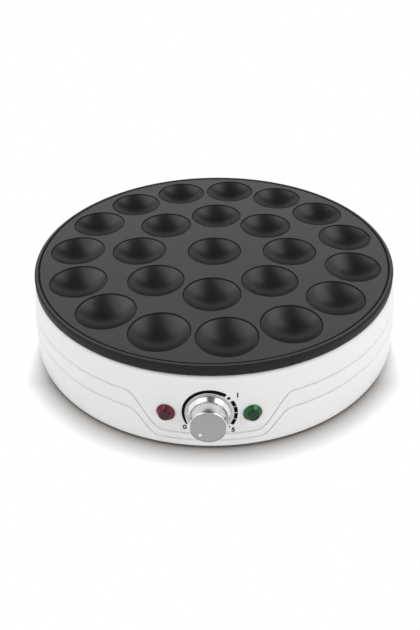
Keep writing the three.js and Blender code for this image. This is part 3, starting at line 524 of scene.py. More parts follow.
def fan(radius: float, start: float, count: int, turns: Iterable[float]) -> list[Vector]:
    """Points on a ring that is split into equal parts.

    Args:
        radius: the ring's radius.
        start: azimuth where the first part starts.
        count: number of parts.
        turns: how many parts each point lies from the start.

    Returns:
        The points.
    """
    return [polar(radius, start + FULL_TURN * turn / count) for turn in turns]


@dataclass(frozen=True)
class Corner:
    """A corner of a turned outline.

    Attributes:
        radius: distance from the axis.
        height: place along the axis.
        rounding: how far its rounding reaches along both sides.
    """

    radius: float
    height: float
    rounding: float = 0.0


def arc(centre: Point, radius: float, start: float, end: float, steps: int) -> list[Corner]:
    """Points of an arc in an outline.

    Args:
        centre: its centre's radius and height.
        radius: its own radius.
        start: angle of the first point, from the outward direction.
        end: angle of the last point.
        steps: number of chords.

    Returns:
        The points as plain corners.
    """
    angles = [start + (end - start) * i / steps for i in range(steps + 1)]
    return [Corner(centre[0] + radius * math.cos(angle), centre[1] + radius * math.sin(angle))
            for angle in angles]


def outline(bm: BMesh, corners: Sequence[Corner], closed: bool) -> list[bmesh.types.BMVert]:
    """Draws an outline in the XZ plane.

    Args:
        bm: the mesh that it goes into.
        corners: the corners in order.
        closed: whether the last corner joins the first.

    Returns:
        A vertex for each corner.
    """
    verts = [bm.verts.new((corner.radius, 0.0, corner.height)) for corner in corners]
    for pair in zip(verts, verts[1:] + verts[:1] if closed else verts[1:]):
        bm.edges.new(pair)
    return verts


def turn_round(bm: BMesh, steps: int) -> None:
    """Turns an outline once round the Z axis and welds it.

    Args:
        bm: the mesh that holds the outline.
        steps: number of sides.
    """
    bmesh.ops.spin(bm, geom=[*bm.verts, *bm.edges], cent=(0, 0, 0), axis=UP, angle=FULL_TURN,
                   steps=steps, use_merge=True, use_duplicate=False)
    bmesh.ops.remove_doubles(bm, verts=bm.verts, dist=WELD)


def turned(corners: Sequence[Corner], steps: int, closed: bool = False, segments: int = 4,
           place: Optional[Matrix] = None) -> BMesh:
    """A shape turned about the Z axis.

    Args:
        corners: its outline.
        steps: number of sides.
        closed: whether the outline closes on itself.
        segments: chords of each rounding.
        place: where the finished shape goes.

    Returns:
        The mesh, welded.
    """
    bm = bmesh.new()
    for vert, corner in zip(outline(bm, corners, closed), corners):
        if corner.rounding > 0:
            bmesh.ops.bevel(bm, geom=[vert], offset=corner.rounding, offset_type="OFFSET",
                            segments=segments, profile=0.5, affect="VERTICES", material=-1)
    turn_round(bm, steps)
    if place is not None:
        bmesh.ops.transform(bm, matrix=place, verts=bm.verts)
    return bm


class Bench:
    """Turns finished meshes into pieces of the scene."""

    CREASE = math.radians(32)

    def __init__(self, workshop: Workshop) -> None:
        """Keeps the workshop that materials come from."""
        self.workshop = workshop
        self.dressed: set[str] = set()

    def piece(self, name: str, bm: BMesh, finishes: Sequence[Finish], body: str = BASE,
              node: Optional[str] = None, axis: Optional[Matrix] = None) -> None:
        """Makes an object of a mesh, dresses it and fastens it to a body.

        Args:
            name: the piece's name.
            bm: its mesh, with faces outwards, freed here.
            finishes: its finishes, by material index.
            body: the body that it rides on.
            node: the node that it stands for.
            axis: where a turned finish's axis lies.
        """
        mesh = mesh_of(name, bm)
        mesh.set_sharp_from_angle(angle=self.CREASE)
        made = linked(name, mesh)
        for finish in finishes:
            mesh.materials.append(self.workshop.material(finish, axis))
        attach(made, body)
        if node:
            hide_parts(node)
            self.dressed.add(node)
        log.info("%s: %d faces", name, len(mesh.polygons))

    def dress(self, node: str, finish: Finish) -> None:
        """Gives a carried-over node its material.

        Args:
            node: the node.
            finish: its finish.
        """
        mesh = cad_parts[node].data
        mesh.materials.clear()
        mesh.materials.append(self.workshop.material(finish))
        self.dressed.add(node)
        log.info("%s: dressed as %s", node, finish.name)


@dataclass(frozen=True)
class PlateSizes:
    """Sizes of the cast plate."""

    face_height: float = 0.068
    thickness: float = 0.003
    cup_radius: float = 0.02254
    cup_depth: float = 0.0093
    cup_wall: float = 0.0024
    cup_edge: float = 0.00035
    cup_step: float = 0.0007
    cup_step_width: float = 0.00025
    cup_collar: float = 0.0006
    cup_margin: float = 0.0002
    outer_cups: int = 15
    inner_cups: int = 8
    outer_land: float = 0.00366
    ring_gap: float = 0.00787
    rim_land: float = 0.00716
    lip_width: float = 0.0031
    lip_height: float = 0.0004
    groove_width: float = 0.0014
    groove_depth: float = 0.0008
    groove_slope: float = 0.0003
    skirt_depth: float = 0.0074
    skirt_thickness: float = 0.003
    skirt_draft: float = 0.0003
    rim_rounding: float = 0.002
    foot_rounding: float = 0.0006
    post_radius: float = 0.0045
    post_boss: float = 0.011
    post_hole: float = 0.002
    post_hole_depth: float = 0.0083
    post_inset: float = 0.0098
    posts: int = 5
    clamp_radius: float = 0.0035
    clamp_boss: float = 0.0038
    clamp_hole: float = 0.0018
    clamp_hole_depth: float = 0.0033
    clamp_setback: float = 0.0127
    clamps: int = 4

    @property
    def outer_ring(self) -> float:
        """Radius of the outer ring's cup middles."""
        return (self.cup_radius + self.outer_land / 2) / math.sin(math.pi / self.outer_cups)

    @property
    def inner_ring(self) -> float:
        """Radius of the inner ring's cup middles."""
        return self.outer_ring - 2 * self.cup_radius - self.ring_gap

    @property
    def rim(self) -> float:
        """Radius of the plate at its face."""
        return self.outer_ring + self.cup_radius + self.rim_land + self.lip_width

    @property
    def groove_outer(self) -> float:
        """Radius of the groove's outer side, where the lip starts."""
        return self.rim - self.lip_width

    @property
    def under(self) -> float:
        """Height of the flat underside."""
        return self.face_height - self.thickness

    @property
    def skirt_foot(self) -> float:
        """Height of the skirt's lower edge."""
        return self.face_height - self.skirt_depth

    @property
    def skirt_inner(self) -> float:
        """Inner radius of the skirt."""
        return self.rim - self.skirt_thickness

    @property
    def bowl_rim(self) -> float:
        """Radius of a bowl where its step ends."""
        return self.cup_radius - self.cup_step_width


@dataclass(frozen=True)
class BakingPlate:
    """The cast plate with its cups, lip, skirt and the bosses under it.

    EDGE_SHARE is how much of a cup's rounded edge takes the painted dark edge line, a painted
    shade. A face of the lip belongs to its top where its normal climbs by LIP_SLOPE or more.

    Attributes:
        sizes: its sizes.
        bench: where pieces are made.
    """

    # The cup, cup edge and skirt finishes are darker copies of the face's coating: painted shade.
    FINISHES = (PLATE_FACE, CUP_PAINTED_SHADE, SKIRT_PAINTED_SHADE, CUP_EDGE_PAINTED_SHADE)
    CUP_SIDES = 80
    BULGE_SIDES = 48
    BOSS_SIDES = 24
    RIM_SIDES = 288
    MARGIN_STEPS = 2
    BOWL_STEPS = 12
    BULGE_STEPS = 6
    EDGE_SHARE = 0.7
    BOSS_EDGE = 1 / 8
    HOLE_EDGE = 1 / 6
    LIP_SLOPE = 0.95

    sizes: PlateSizes
    bench: Bench

    def cup_places(self) -> list[Vector]:
        """Middles of all cups, from the plate's own middle outwards.

        Returns:
            The middles, at height 0.
        """
        s = self.sizes
        return [Vector(),
                *fan(s.inner_ring, QUARTER_TURN, s.inner_cups, range(s.inner_cups)),
                *fan(s.outer_ring, math.pi, s.outer_cups, range(s.outer_cups))]

    def post_places(self) -> list[Vector]:
        """Middles of the post bosses, each in a gap of the outer ring.

        Returns:
            The middles, at height 0.
        """
        s = self.sizes
        gaps = [1.5 + round(i * s.outer_cups / s.posts) for i in range(s.posts)]
        return fan(s.skirt_inner - s.post_inset, math.pi, s.outer_cups, gaps)

    def clamp_places(self) -> list[Vector]:
        """Middles of the clamp bosses, each in a gap of the inner ring.

        Returns:
            The middles, at height 0.
        """
        s = self.sizes
        gaps = [0.5 + round(i * s.inner_cups / s.clamps) for i in range(s.clamps)]
        ring = (s.outer_ring + s.inner_ring) / 2 - s.clamp_setback
        return fan(ring, QUARTER_TURN, s.inner_cups, gaps)

    def rim(self) -> BMesh:
        """The lip, skirt and their rounded edges, from the face round to the underside.

        Returns:
            The mesh, open towards the cups.
        """
        s = self.sizes
        top = s.face_height + s.lip_height
        bottom = s.face_height - s.groove_depth
        slope = s.groove_slope
        groove_inner = s.groove_outer - s.groove_width
        corners = [
            Corner(groove_inner - s.groove_width, s.face_height),
            Corner(groove_inner, s.face_height, slope / 2),
            Corner(groove_inner + slope, bottom, slope / 2),
            Corner(s.groove_outer - slope, bottom, slope / 2),
            Corner(s.groove_outer, top, slope / 2),
            Corner(s.rim, top, s.rim_rounding),
            Corner(s.rim + s.skirt_draft, s.skirt_foot, s.foot_rounding),
            Corner(s.skirt_inner, s.skirt_foot, s.foot_rounding),
            Corner(s.skirt_inner, s.under, s.foot_rounding),
            Corner(s.skirt_inner - s.foot_rounding * 2, s.under),
        ]
        return turned(corners, self.RIM_SIDES, segments=5)

    def cup(self) -> BMesh:
        """One cup: a flat collar, a rounded edge, a short steep step, a margin and the bowl.

        Returns:
            The mesh, open at the collar's outer edge.
        """
        s = self.sizes
        depth = s.cup_depth - s.cup_step
        sphere = (s.bowl_rim ** 2 + depth ** 2) / (2 * depth)
        centre = (0.0, s.face_height - s.cup_depth + sphere)
        bowl_edge = s.bowl_rim - s.cup_margin
        rim_angle, bowl_angle = [math.asin(radius / sphere) - QUARTER_TURN
                                 for radius in (s.bowl_rim, bowl_edge)]
        corners = [
            Corner(s.cup_radius + s.cup_collar, s.face_height),
            Corner(s.cup_radius, s.face_height, s.cup_edge),
            *arc(centre, sphere, rim_angle, bowl_angle, self.MARGIN_STEPS)[:-1],
            *arc(centre, sphere, bowl_angle, -QUARTER_TURN, self.BOWL_STEPS),
        ]
        cup = turned(corners, self.CUP_SIDES, segments=3)
        # Painted shade: bowls take the darker cup coating, the rim the dark edge line.
        bowl, edge = [self.FINISHES.index(finish) for finish in (CUP_PAINTED_SHADE, CUP_EDGE_PAINTED_SHADE)]
        for face in cup.faces:
            reach = face.calc_center_median().to_2d().length
            if reach < s.cup_radius + s.cup_edge * self.EDGE_SHARE:
                face.material_index = bowl if reach < bowl_edge else edge
        return cup

    def bulge(self) -> BMesh:
        """The outside of one cup under the plate.

        Returns:
            The mesh, open where it meets the plate.
        """
        s = self.sizes
        sphere = (s.cup_radius ** 2 + s.cup_depth ** 2) / (2 * s.cup_depth)
        centre = s.face_height - s.cup_depth + sphere
        outside = sphere + s.cup_wall
        start = math.acos((centre - s.under) / outside) - QUARTER_TURN
        return turned(arc((0.0, centre), outside, start, -QUARTER_TURN, self.BULGE_STEPS),
                      self.BULGE_SIDES)

    def boss(self, radius: float, length: float, hole: float, depth: float) -> BMesh:
        """A screw boss under the plate.

        Args:
            radius: its radius.
            length: how far it hangs down.
            hole: radius of its hole.
            depth: depth of its hole.

        Returns:
            Its mesh, open where it meets the plate.
        """
        under = self.sizes.under
        foot = under - length
        corners = [
            Corner(radius, under),
            Corner(radius, foot, radius * self.BOSS_EDGE),
            Corner(hole, foot, hole * self.HOLE_EDGE),
            Corner(hole, foot + depth),
            Corner(0.0, foot + depth),
        ]
        return turned(corners, self.BOSS_SIDES, segments=2)

    @staticmethod
    def _copy_to(target: BMesh, shape: BMesh, places: Sequence[Vector]) -> None:
        """Puts copies of a shape at places and frees it.

        Args:
            target: the mesh that grows.
            shape: the shape, freed here.
            places: where the copies go.
        """
        carrier = mesh_of("carrier", shape)
        for place in places:
            count = len(target.verts)
            target.from_mesh(carrier)
            bmesh.ops.translate(target, verts=target.verts[count:], vec=place)
        bpy.data.meshes.remove(carrier)

    @staticmethod
    def _fill_flat(bm: BMesh, height: float, normal: Vector) -> None:
        """Fills the flat between the open edges at a height.

        Args:
            bm: the mesh.
            height: the flat's height.
            normal: which way it faces.
        """
        edges = [edge for edge in bm.edges if edge.is_boundary
                 and all(abs(vert.co.z - height) < WELD for vert in edge.verts)]
        bmesh.ops.triangle_fill(bm, use_beauty=True, use_dissolve=False, edges=edges,
                                normal=normal)

    def build(self) -> None:
        """Builds the plate."""
        s = self.sizes
        bm = self.rim()
        for shape, places in (
            (self.cup(), self.cup_places()),
            (self.bulge(), self.cup_places()),
            (self.boss(s.post_radius, s.post_boss, s.post_hole, s.post_hole_depth),
             self.post_places()),
            (self.boss(s.clamp_radius, s.clamp_boss, s.clamp_hole, s.clamp_hole_depth),
             self.clamp_places()),
        ):
            self._copy_to(bm, shape, places)
        smooth(bm)
        self._fill_flat(bm, s.face_height, UP)
        self._fill_flat(bm, s.under, -UP)
        self._mark(outwards(bm))
        self.bench.piece("baking_plate_cast", bm, self.FINISHES, node="baking_plate")

    def _mark(self, bm: BMesh) -> None:
        """Paints shade on the groove, lip side, skirt and underside with the skirt's finish.

        Args:
            bm: the plate's mesh, its cups already marked.
        """
        s = self.sizes
        skirt = self.FINISHES.index(SKIRT_PAINTED_SHADE)
        for face in bm.faces:
            middle = face.calc_center_median()
            reach = math.hypot(middle.x, middle.y)
            in_groove = s.groove_outer - s.groove_width < reach < s.groove_outer
            beside = reach > s.groove_outer and face.normal.z < self.LIP_SLOPE
            low = middle.z < s.face_height - WELD
            if not face.material_index and (low or in_groove or beside):
                face.material_index = skirt


@dataclass(frozen=True)
class Groove:
    """A groove round the drum that dips under the front panel.

    Attributes:
        height: its height round the drum.
        panel_height: its height under the panel.
        flat: half the level run under the panel.
        reach: half the width over which it dips.
    """

    height: float
    panel_height: float
    flat: float
    reach: float

    def middle(self, along: float) -> float:
        """Height at a distance along the wall from the middle of the front.

        Args:
            along: that distance.

        Returns:
            The height of the groove's middle.
        """
        share = self._share(along)
        rise = self.height - self.panel_height
        return self.panel_height + rise * share * share * (3 - 2 * share)

    def stretch(self, along: float) -> float:
        """How much taller its cross-section is where it runs on a slope.

        Args:
            along: distance along the wall from the middle of the front.

        Returns:
            The factor, 1 where the groove is level.
        """
        share = self._share(along)
        rise = self.height - self.panel_height
        return math.hypot(1.0, rise * 6 * share * (1 - share) / (self.reach - self.flat))

    def _share(self, along: float) -> float:
        """0 under the panel, 1 round the drum."""
        return min(max((abs(along) - self.flat) / (self.reach - self.flat), 0.0), 1.0)


@dataclass(frozen=True)
class DrumSizes:
    """Sizes of the moulded drum."""

    top: float = 0.0598
    top_radius: float = 0.15076
    flare: float = 0.00725
    belly: float = 0.00111
    wall: float = 0.0024
    shoulder: float = 0.005
    foot: float = 0.0008
    ledge: float = 0.0016
    upstand_rise: float = 0.0026
    upstand_wall: float = 0.0016
    groove_width: float = 0.0019
    groove_depth: float = 0.0012
    upper: Groove = Groove(0.0404, 0.0118, 0.0328, 0.061)
    lower: Groove = Groove(0.0263, 0.0057, 0.0358, 0.0591)
    dial_height: float = 0.031
    dial_seat_radius: float = 0.0169
    dial_seat_height: float = 0.0002
    dial_hole: float = 0.0052
    lamp_height: float = 0.0291
    lamp_spread: float = 0.0304
    lamp_hole: float = 0.0052
    gland_height: float = 0.018
    gland_seat_radius: float = 0.0105
    gland_seat_height: float = 0.0013
    gland_hole: float = 0.0067
    post_top: float = 0.0503
    post_length: float = 0.018
    post_bore: float = 0.002
    post_rib: float = 0.003
    boss_inset: float = 0.01
    boss_foot: float = 0.0028
    boss_height: float = 0.012
    boss_radius: float = 0.0042
    boss_azimuth: float = math.pi / 6

    def radius(self, height: float) -> float:
        """Outer radius of the wall at a height."""
        share = (self.top - height) / self.top
        return self.top_radius + self.flare * share + 4 * self.belly * share * (1 - share)

    def lean(self, height: float) -> float:
        """How far the wall leans back from upright at a height."""
        share = (self.top - height) / self.top
        return math.atan((self.flare + 4 * self.belly * (1 - 2 * share)) / self.top)

    def on_wall(self, azimuth: float, height: float, lean: float) -> Matrix:
        """A place on the wall: local Z points out along the lean, local X runs along the wall.

        Args:
            azimuth: its azimuth.
            height: its height.
            lean: how far its axis climbs.

        Returns:
            The place.
        """
        out = polar(math.cos(lean), azimuth, math.sin(lean))
        along = Vector((-math.sin(azimuth), math.cos(azimuth), 0.0))
        turn = Matrix((along, out.cross(along), out)).transposed().to_4x4()
        return Matrix.Translation(polar(self.radius(height), azimuth, height)) @ turn

    @property
    def dial_place(self) -> Matrix:
        """Where the dial's axis leaves the wall."""
        return self.on_wall(FRONT, self.dial_height, self.lean(self.dial_height))

    def lamp_place(self, side: int) -> Matrix:
        """Where a lamp's axis leaves the wall: side -1 is the left lamp and 1 the right one."""
        azimuth = FRONT + side * self.lamp_spread / self.radius(self.lamp_height)
        return self.on_wall(azimuth, self.lamp_height, self.lean(self.lamp_height))

    @property
    def gland_place(self) -> Matrix:
        """Where the gland's level axis leaves the wall at the back."""
        return self.on_wall(QUARTER_TURN, self.gland_height, 0.0)


@dataclass(frozen=True)
class Drum:
    """The white moulded drum that carries everything.

    GROOVE_SHAPE gives the depth across a groove, both as shares of the groove's sizes. INNER_ROWS
    are heights inside the wall, as shares of where the shoulder starts. FOOT_SHARE is how much of
    the foot its bevel takes, RIB_SHARE how much of the wall a rib leaves whole, and DRILL_WALLS a
    drill's reach in wall thicknesses.

    Attributes:
        sizes: its sizes.
        bench: where pieces are made.
        plate: the plate that its posts carry.
    """

    SIDES = 432
    PIPE_SIDES = 32
    HOLE_SIDES = 40
    GROOVE_SHAPE = ((0.0, 0.0), (0.08, 0.25), (0.13, 0.5), (0.14, 1.5), (0.33, 1.5), (0.36, 0.7),
                    (0.52, 0.45), (0.76, 0.18), (1.0, 0.0))
    PLAIN_ROWS = 5
    SHOULDER_STEPS = 8
    INNER_ROWS = (0.97, 0.75, 0.5, 0.25, 0.0)
    FOOT_SHARE = 0.29
    RIB_SHARE = 0.8
    PIPE_EDGE = 1 / 8
    DRILL_WALLS = 4

    sizes: DrumSizes
    bench: Bench
    plate: BakingPlate

    def _groove_rows(self, groove: Groove, along: float) -> list[Corner]:
        """The points across a groove.

        Args:
            groove: the groove.
            along: distance along the wall from the middle of the front.

        Returns:
            The points, from its lower side up.
        """
        s = self.sizes
        tall = s.groove_width * groove.stretch(along)
        rows = []
        for share, depth in self.GROOVE_SHAPE:
            height = groove.middle(along) + tall * (share - 0.5)
            rows.append(Corner(s.radius(height) - s.groove_depth * depth, height))
        return rows

    def _plain_rows(self, low: float, high: float) -> list[Corner]:
        """The points between two heights, without their ends."""
        heights = [low + (high - low) * i / self.PLAIN_ROWS for i in range(1, self.PLAIN_ROWS)]
        return [Corner(self.sizes.radius(height), height) for height in heights]

    def section(self, along: float) -> list[Corner]:
        """Cross-section of the wall at a distance along it from the middle of the front.

        Args:
            along: that distance.

        Returns:
            Its corners, up the outside and down the inside.
        """
        s = self.sizes
        bevel = s.foot * self.FOOT_SHARE
        lower, upper = [self._groove_rows(groove, along) for groove in (s.lower, s.upper)]
        start = s.top - s.shoulder
        centre = s.radius(start) - s.shoulder
        upstand = centre - s.ledge
        inside = upstand - s.upstand_wall
        rise = s.top + s.upstand_rise
        ceiling = s.top - s.wall
        return [
            Corner(s.radius(0) - s.foot, 0.0),
            Corner(s.radius(s.foot / 4) - bevel, bevel),
            Corner(s.radius(s.foot), s.foot),
            *self._plain_rows(s.foot, lower[0].height),
            *lower,
            *self._plain_rows(lower[-1].height, upper[0].height),
            *upper,
            *self._plain_rows(upper[-1].height, start),
            *arc((centre, start), s.shoulder, 0.0, QUARTER_TURN, self.SHOULDER_STEPS),
            Corner(upstand, s.top),
            Corner(upstand, rise),
            Corner(inside, rise),
            Corner(inside, ceiling),
            Corner(centre, ceiling),
            *(Corner(s.radius(start * share) - s.wall, start * share)
              for share in self.INNER_ROWS),
        ]

    def wall(self) -> BMesh:
        """The turned wall, its rows moved along the two grooves.

        Returns:
            The closed mesh.
        """
        s = self.sizes
        bm = bmesh.new()
        row_of = bm.verts.layers.int.new("row")
        for row, vert in enumerate(outline(bm, self.section(s.radius(0) * math.pi), True)):
            vert[row_of] = row
        turn_round(bm, self.SIDES)
        sections: dict[int, list[Corner]] = {}
        for vert in bm.verts:
            azimuth = math.atan2(vert.co.y, vert.co.x)
            column = round(azimuth / FULL_TURN * self.SIDES)
            if column not in sections:
                offset = math.remainder(azimuth - FRONT, FULL_TURN)
                sections[column] = self.section(offset * s.radius(s.dial_height))
            corner = sections[column][vert[row_of]]
            vert.co = polar(corner.radius, azimuth, corner.height)
        bm.verts.layers.int.remove(row_of)
        return bm

    def _pipe(self, bore: float, radius: float, low: float, high: float,
              place: Matrix) -> BMesh:
        """A pipe with slightly rounded outer edges.

        Args:
            bore: its inner radius.
            radius: its outer radius.
            low: where it starts.
            high: where it ends.
            place: where its axis lies.

        Returns:
            The closed mesh.
        """
        edge = (radius - bore) * self.PIPE_EDGE
        corners = [Corner(bore, low), Corner(radius, low, edge), Corner(radius, high, edge),
                   Corner(bore, high)]
        return turned(corners, self.PIPE_SIDES, closed=True, segments=2, place=place)

    def _rib(self, place: Vector, thickness: float, low: float, high: float) -> BMesh:
        """A radial rib from a post or boss out into the wall.

        Args:
            place: middle of the post or boss.
            thickness: its thickness.
            low: height of its lower edge.
            high: height of its upper edge.

        Returns:
            The closed mesh.
        """
        s = self.sizes
        azimuth = math.atan2(place.y, place.x)
        start = place.to_2d().length + thickness
        end = s.radius(high) - s.wall * self.RIB_SHARE
        bm = bmesh.new()
        bmesh.ops.create_cube(bm, size=1.0)
        bmesh.ops.scale(bm, vec=(end - start, thickness, high - low), verts=bm.verts)
        bmesh.ops.translate(bm, vec=((start + end) / 2, 0, (low + high) / 2), verts=bm.verts)
        bmesh.ops.rotate(bm, matrix=Matrix.Rotation(azimuth, 3, "Z"), verts=bm.verts)
        return bm

    def carriers(self) -> list[BMesh]:
        """Posts, screw bosses, their ribs and the seats on the outside.

        Returns:
            Their meshes.
        """
        s = self.sizes
        posts = self.plate.post_places()
        post_foot = s.post_top - s.post_length
        boss_top = s.boss_foot + s.boss_height
        turns = (s.boss_azimuth, -s.boss_azimuth, math.pi + s.boss_azimuth,
                 math.pi - s.boss_azimuth)
        made = [self._pipe(s.post_bore, self.plate.sizes.post_radius, post_foot, s.post_top,
                           Matrix.Translation(place)) for place in posts]
        made += [self._rib(place, s.post_rib, post_foot + s.boss_radius,
                           s.post_top - s.boss_radius) for place in posts]
        for place in [polar(s.radius(0) - s.boss_inset, turn) for turn in turns]:
            made += [self._pipe(s.post_bore, s.boss_radius, s.boss_foot, boss_top,
                                Matrix.Translation(place)),
                     self._rib(place, s.post_rib, s.boss_foot + SEAT_GAP, boss_top - SEAT_GAP)]
        gland_lean = s.gland_seat_radius * math.tan(s.lean(s.gland_height))
        return [*made,
                self._pipe(s.dial_hole, s.dial_seat_radius, -s.wall / 2, s.dial_seat_height,
                           s.dial_place),
                self._pipe(s.gland_hole, s.gland_seat_radius, -s.wall / 2 - gland_lean,
                           s.gland_seat_height, s.gland_place)]

    def build(self) -> None:
        """Builds the drum."""
        wall = self.wall()
        smooth(wall)
        drum = self._drilled(outwards(wall))
        for carrier in self.carriers():
            smooth(carrier)
            join(drum, outwards(carrier))
        self.bench.piece("drum_moulding", drum, [WHITE_PLASTIC], node="housing")

    def _drilled(self, wall: BMesh) -> BMesh:
        """Cuts the round holes of the dial, the lamps and the gland through the wall.

        Args:
            wall: the wall's mesh, freed here.

        Returns:
            The wall with its holes.
        """
        s = self.sizes
        reach = s.wall * self.DRILL_WALLS
        drills = bmesh.new()
        for radius, place in ((s.dial_hole, s.dial_place), (s.lamp_hole, s.lamp_place(-1)),
                              (s.lamp_hole, s.lamp_place(1)), (s.gland_hole, s.gland_place)):
            join(drills, turned([Corner(0.0, -reach), Corner(radius, -reach),
                                 Corner(radius, reach), Corner(0.0, reach)],
                                self.HOLE_SIDES, place=place))
        blank = linked("wall_blank", mesh_of("wall_blank", wall))
        cutter = linked("wall_drills", mesh_of("wall_drills", outwards(drills)))
        modifier = blank.modifiers.new("holes", "BOOLEAN")
        modifier.operation = "DIFFERENCE"
        modifier.solver = "EXACT"
        modifier.object = cutter
        result = evaluated(blank)
        for made in (blank, cutter):
            mesh = made.data
            bpy.data.objects.remove(made)
            bpy.data.meshes.remove(mesh)
        return result


@dataclass(frozen=True)
class ScaleSizes:
    """Sizes of the print round the dial, seen along the dial's axis.

    The long arc's thickness goes from thin to mid_thick over the share taper of its length, and
    from there to thick. Angles run from the right towards the top.
    """

    outer: float = 0.0197
    thin: float = 0.0012
    mid_thick: float = 0.0023
    thick: float = 0.0026
    taper: float = 0.16
    shift: Point = (0.0006, -0.0006)
    arc_start: float = math.radians(-148)
    arc_end: float = math.radians(-306.7)
    bar_outer: float = 0.0195
    bar_thick: float = 0.0026
    bar_start: float = math.radians(33.5)
    bar_end: float = math.radians(-33.1)
    bar_gap: float = math.radians(1.6)
    bars: int = 4
    dot_ring: float = 0.0182
    big_dot_angle: float = math.radians(44)
    big_dot: float = 0.00118
    small_dot_angle: float = math.radians(-41.8)
    small_dot: float = 0.0006
    film: float = 0.00004
    lift: float = 0.00002
    digit_height: float = 0.0054
    digit_weight: float = 0.035


@dataclass(frozen=True)
class DialScale:
    """The black print on the wall round the dial: a tapering arc, dots, bars and digits.

    DIGITS gives each digit and its middle, to the right of the dial's axis and up. A band starts
    as a blank between BLANK_INNER and BLANK_OUTER.

    Attributes:
        sizes: its sizes.
        drum: the drum that it is printed on.
        bench: where pieces are made.
    """

    ARC_STEPS = 72
    BAR_STEPS = 8
    DOT_SIDES = 20
    BLANK_INNER = 1.0
    BLANK_OUTER = 2.0
    ANGLE_SLACK = 1e-4
    DIGITS = (("0", -0.0179, -0.0132), ("1", 0.0192, 0.0146), ("5", 0.0163, -0.0154))

    sizes: ScaleSizes
    drum: DrumSizes
    bench: Bench

    def _on_wall(self, bm: BMesh) -> BMesh:
        """Wraps a flat print onto the wall and gives it its film.

        Args:
            bm: the flat print, Y up.

        Returns:
            The same mesh, closed.
        """
        s, drum = self.sizes, self.drum
        lean = drum.lean(drum.dial_height)
        extruded = bmesh.ops.extrude_face_region(outwards(bm), geom=list(bm.faces))
        raised = [part for part in extruded["geom"] if isinstance(part, bmesh.types.BMVert)]
        bmesh.ops.translate(bm, verts=raised, vec=(0, 0, s.film))
        bmesh.ops.translate(bm, verts=bm.verts, vec=(*s.shift, 0))
        for vert in bm.verts:
            height = drum.dial_height + vert.co.y * math.cos(lean)
            azimuth = FRONT + vert.co.x / drum.radius(height)
            proud = s.lift + vert.co.z
            if math.hypot(vert.co.x, vert.co.y) < drum.dial_seat_radius:
                proud += drum.dial_seat_height
            vert.co = polar(drum.radius(height) + proud, azimuth, height)
        return outwards(bm)

    def _band(self, start: float, end: float, outer: float,
              thickness: Callable[[float], float], steps: int) -> BMesh:
        """A stretch of ring between two angles.

        Args:
            start: its first angle.
            end: its last angle.
            outer: its outer radius.
            thickness: its thickness at a share of its length.
            steps: number of steps along it.

        Returns:
            The flat band.
        """
        bm = bmesh.new()
        bm.edges.new([bm.verts.new((radius, 0.0, 0.0))
                      for radius in (self.BLANK_INNER, self.BLANK_OUTER)])
        sweep = end - start
        side = math.copysign(1.0, sweep)
        bmesh.ops.spin(bm, geom=[*bm.verts, *bm.edges], cent=(0, 0, 0), axis=UP, angle=sweep,
                       steps=steps, use_merge=False, use_duplicate=False)
        for vert in bm.verts:
            turn = math.atan2(vert.co.y * side, vert.co.x)
            share = (turn % FULL_TURN) / abs(sweep)
            if share > 1 + self.ANGLE_SLACK:
                share = 0.0
            within = vert.co.length < (self.BLANK_INNER + self.BLANK_OUTER) / 2
            radius = outer - thickness(share) if within else outer
            vert.co = polar(radius, start + sweep * share)
        return bm

    def _arc_thickness(self, share: float) -> float:
        """Thickness of the long arc along its length.

        Args:
            share: share of its length.

        Returns:
            The thickness there.
        """
        s = self.sizes
        if share < s.taper:
            return s.thin + (s.mid_thick - s.thin) * share / s.taper
        return s.mid_thick + (s.thick - s.mid_thick) * (share - s.taper) / (1 - s.taper)

    def _dot(self, angle: float, radius: float) -> BMesh:
        """A round dot on the ring.

        Args:
            angle: its angle.
            radius: its radius.

        Returns:
            The flat dot.
        """
        bm = bmesh.new()
        bmesh.ops.create_circle(bm, cap_ends=True, cap_tris=False, segments=self.DOT_SIDES,
                                radius=radius)
        bmesh.ops.translate(bm, verts=bm.verts, vec=polar(self.sizes.dot_ring, angle))
        return bm

    def _digit(self, text: str, x: float, y: float) -> BMesh:
        """A plain digit centred on a place.

        Args:
            text: the digit.
            x: its place to the right.
            y: its place upwards.

        Returns:
            The flat digit.
        """
        curve = bpy.data.curves.new("digit", "FONT")
        curve.body = text
        curve.size = self.sizes.digit_height
        curve.align_x = "CENTER"
        curve.align_y = "CENTER"
        curve.offset = self.sizes.digit_height * self.sizes.digit_weight
        shown = linked("digit", curve)
        bm = evaluated(shown)
        bpy.data.objects.remove(shown)
        bpy.data.curves.remove(curve)
        bmesh.ops.remove_doubles(bm, verts=bm.verts, dist=WELD)
        bmesh.ops.translate(bm, verts=bm.verts, vec=(x, y, 0))
        return bm

    def build(self) -> None:
        """Builds the whole print as one piece."""
        s = self.sizes
        pitch = (s.bar_start - s.bar_end + s.bar_gap) / s.bars
        starts = [s.bar_start - i * pitch for i in range(s.bars)]
        marks = [
            self._band(s.arc_start, s.arc_end, s.outer, self._arc_thickness, self.ARC_STEPS),
            *(self._band(start - pitch + s.bar_gap, start, s.bar_outer,
                         lambda share: s.bar_thick, self.BAR_STEPS) for start in starts),
            self._dot(s.big_dot_angle, s.big_dot),
            self._dot(s.small_dot_angle, s.small_dot),
            *(self._digit(*digit) for digit in self.DIGITS),
        ]
        bm = join(bmesh.new(), *(self._on_wall(mark) for mark in marks))
        self.bench.piece("dial_scale_print", bm, [BLACK_PRINT])


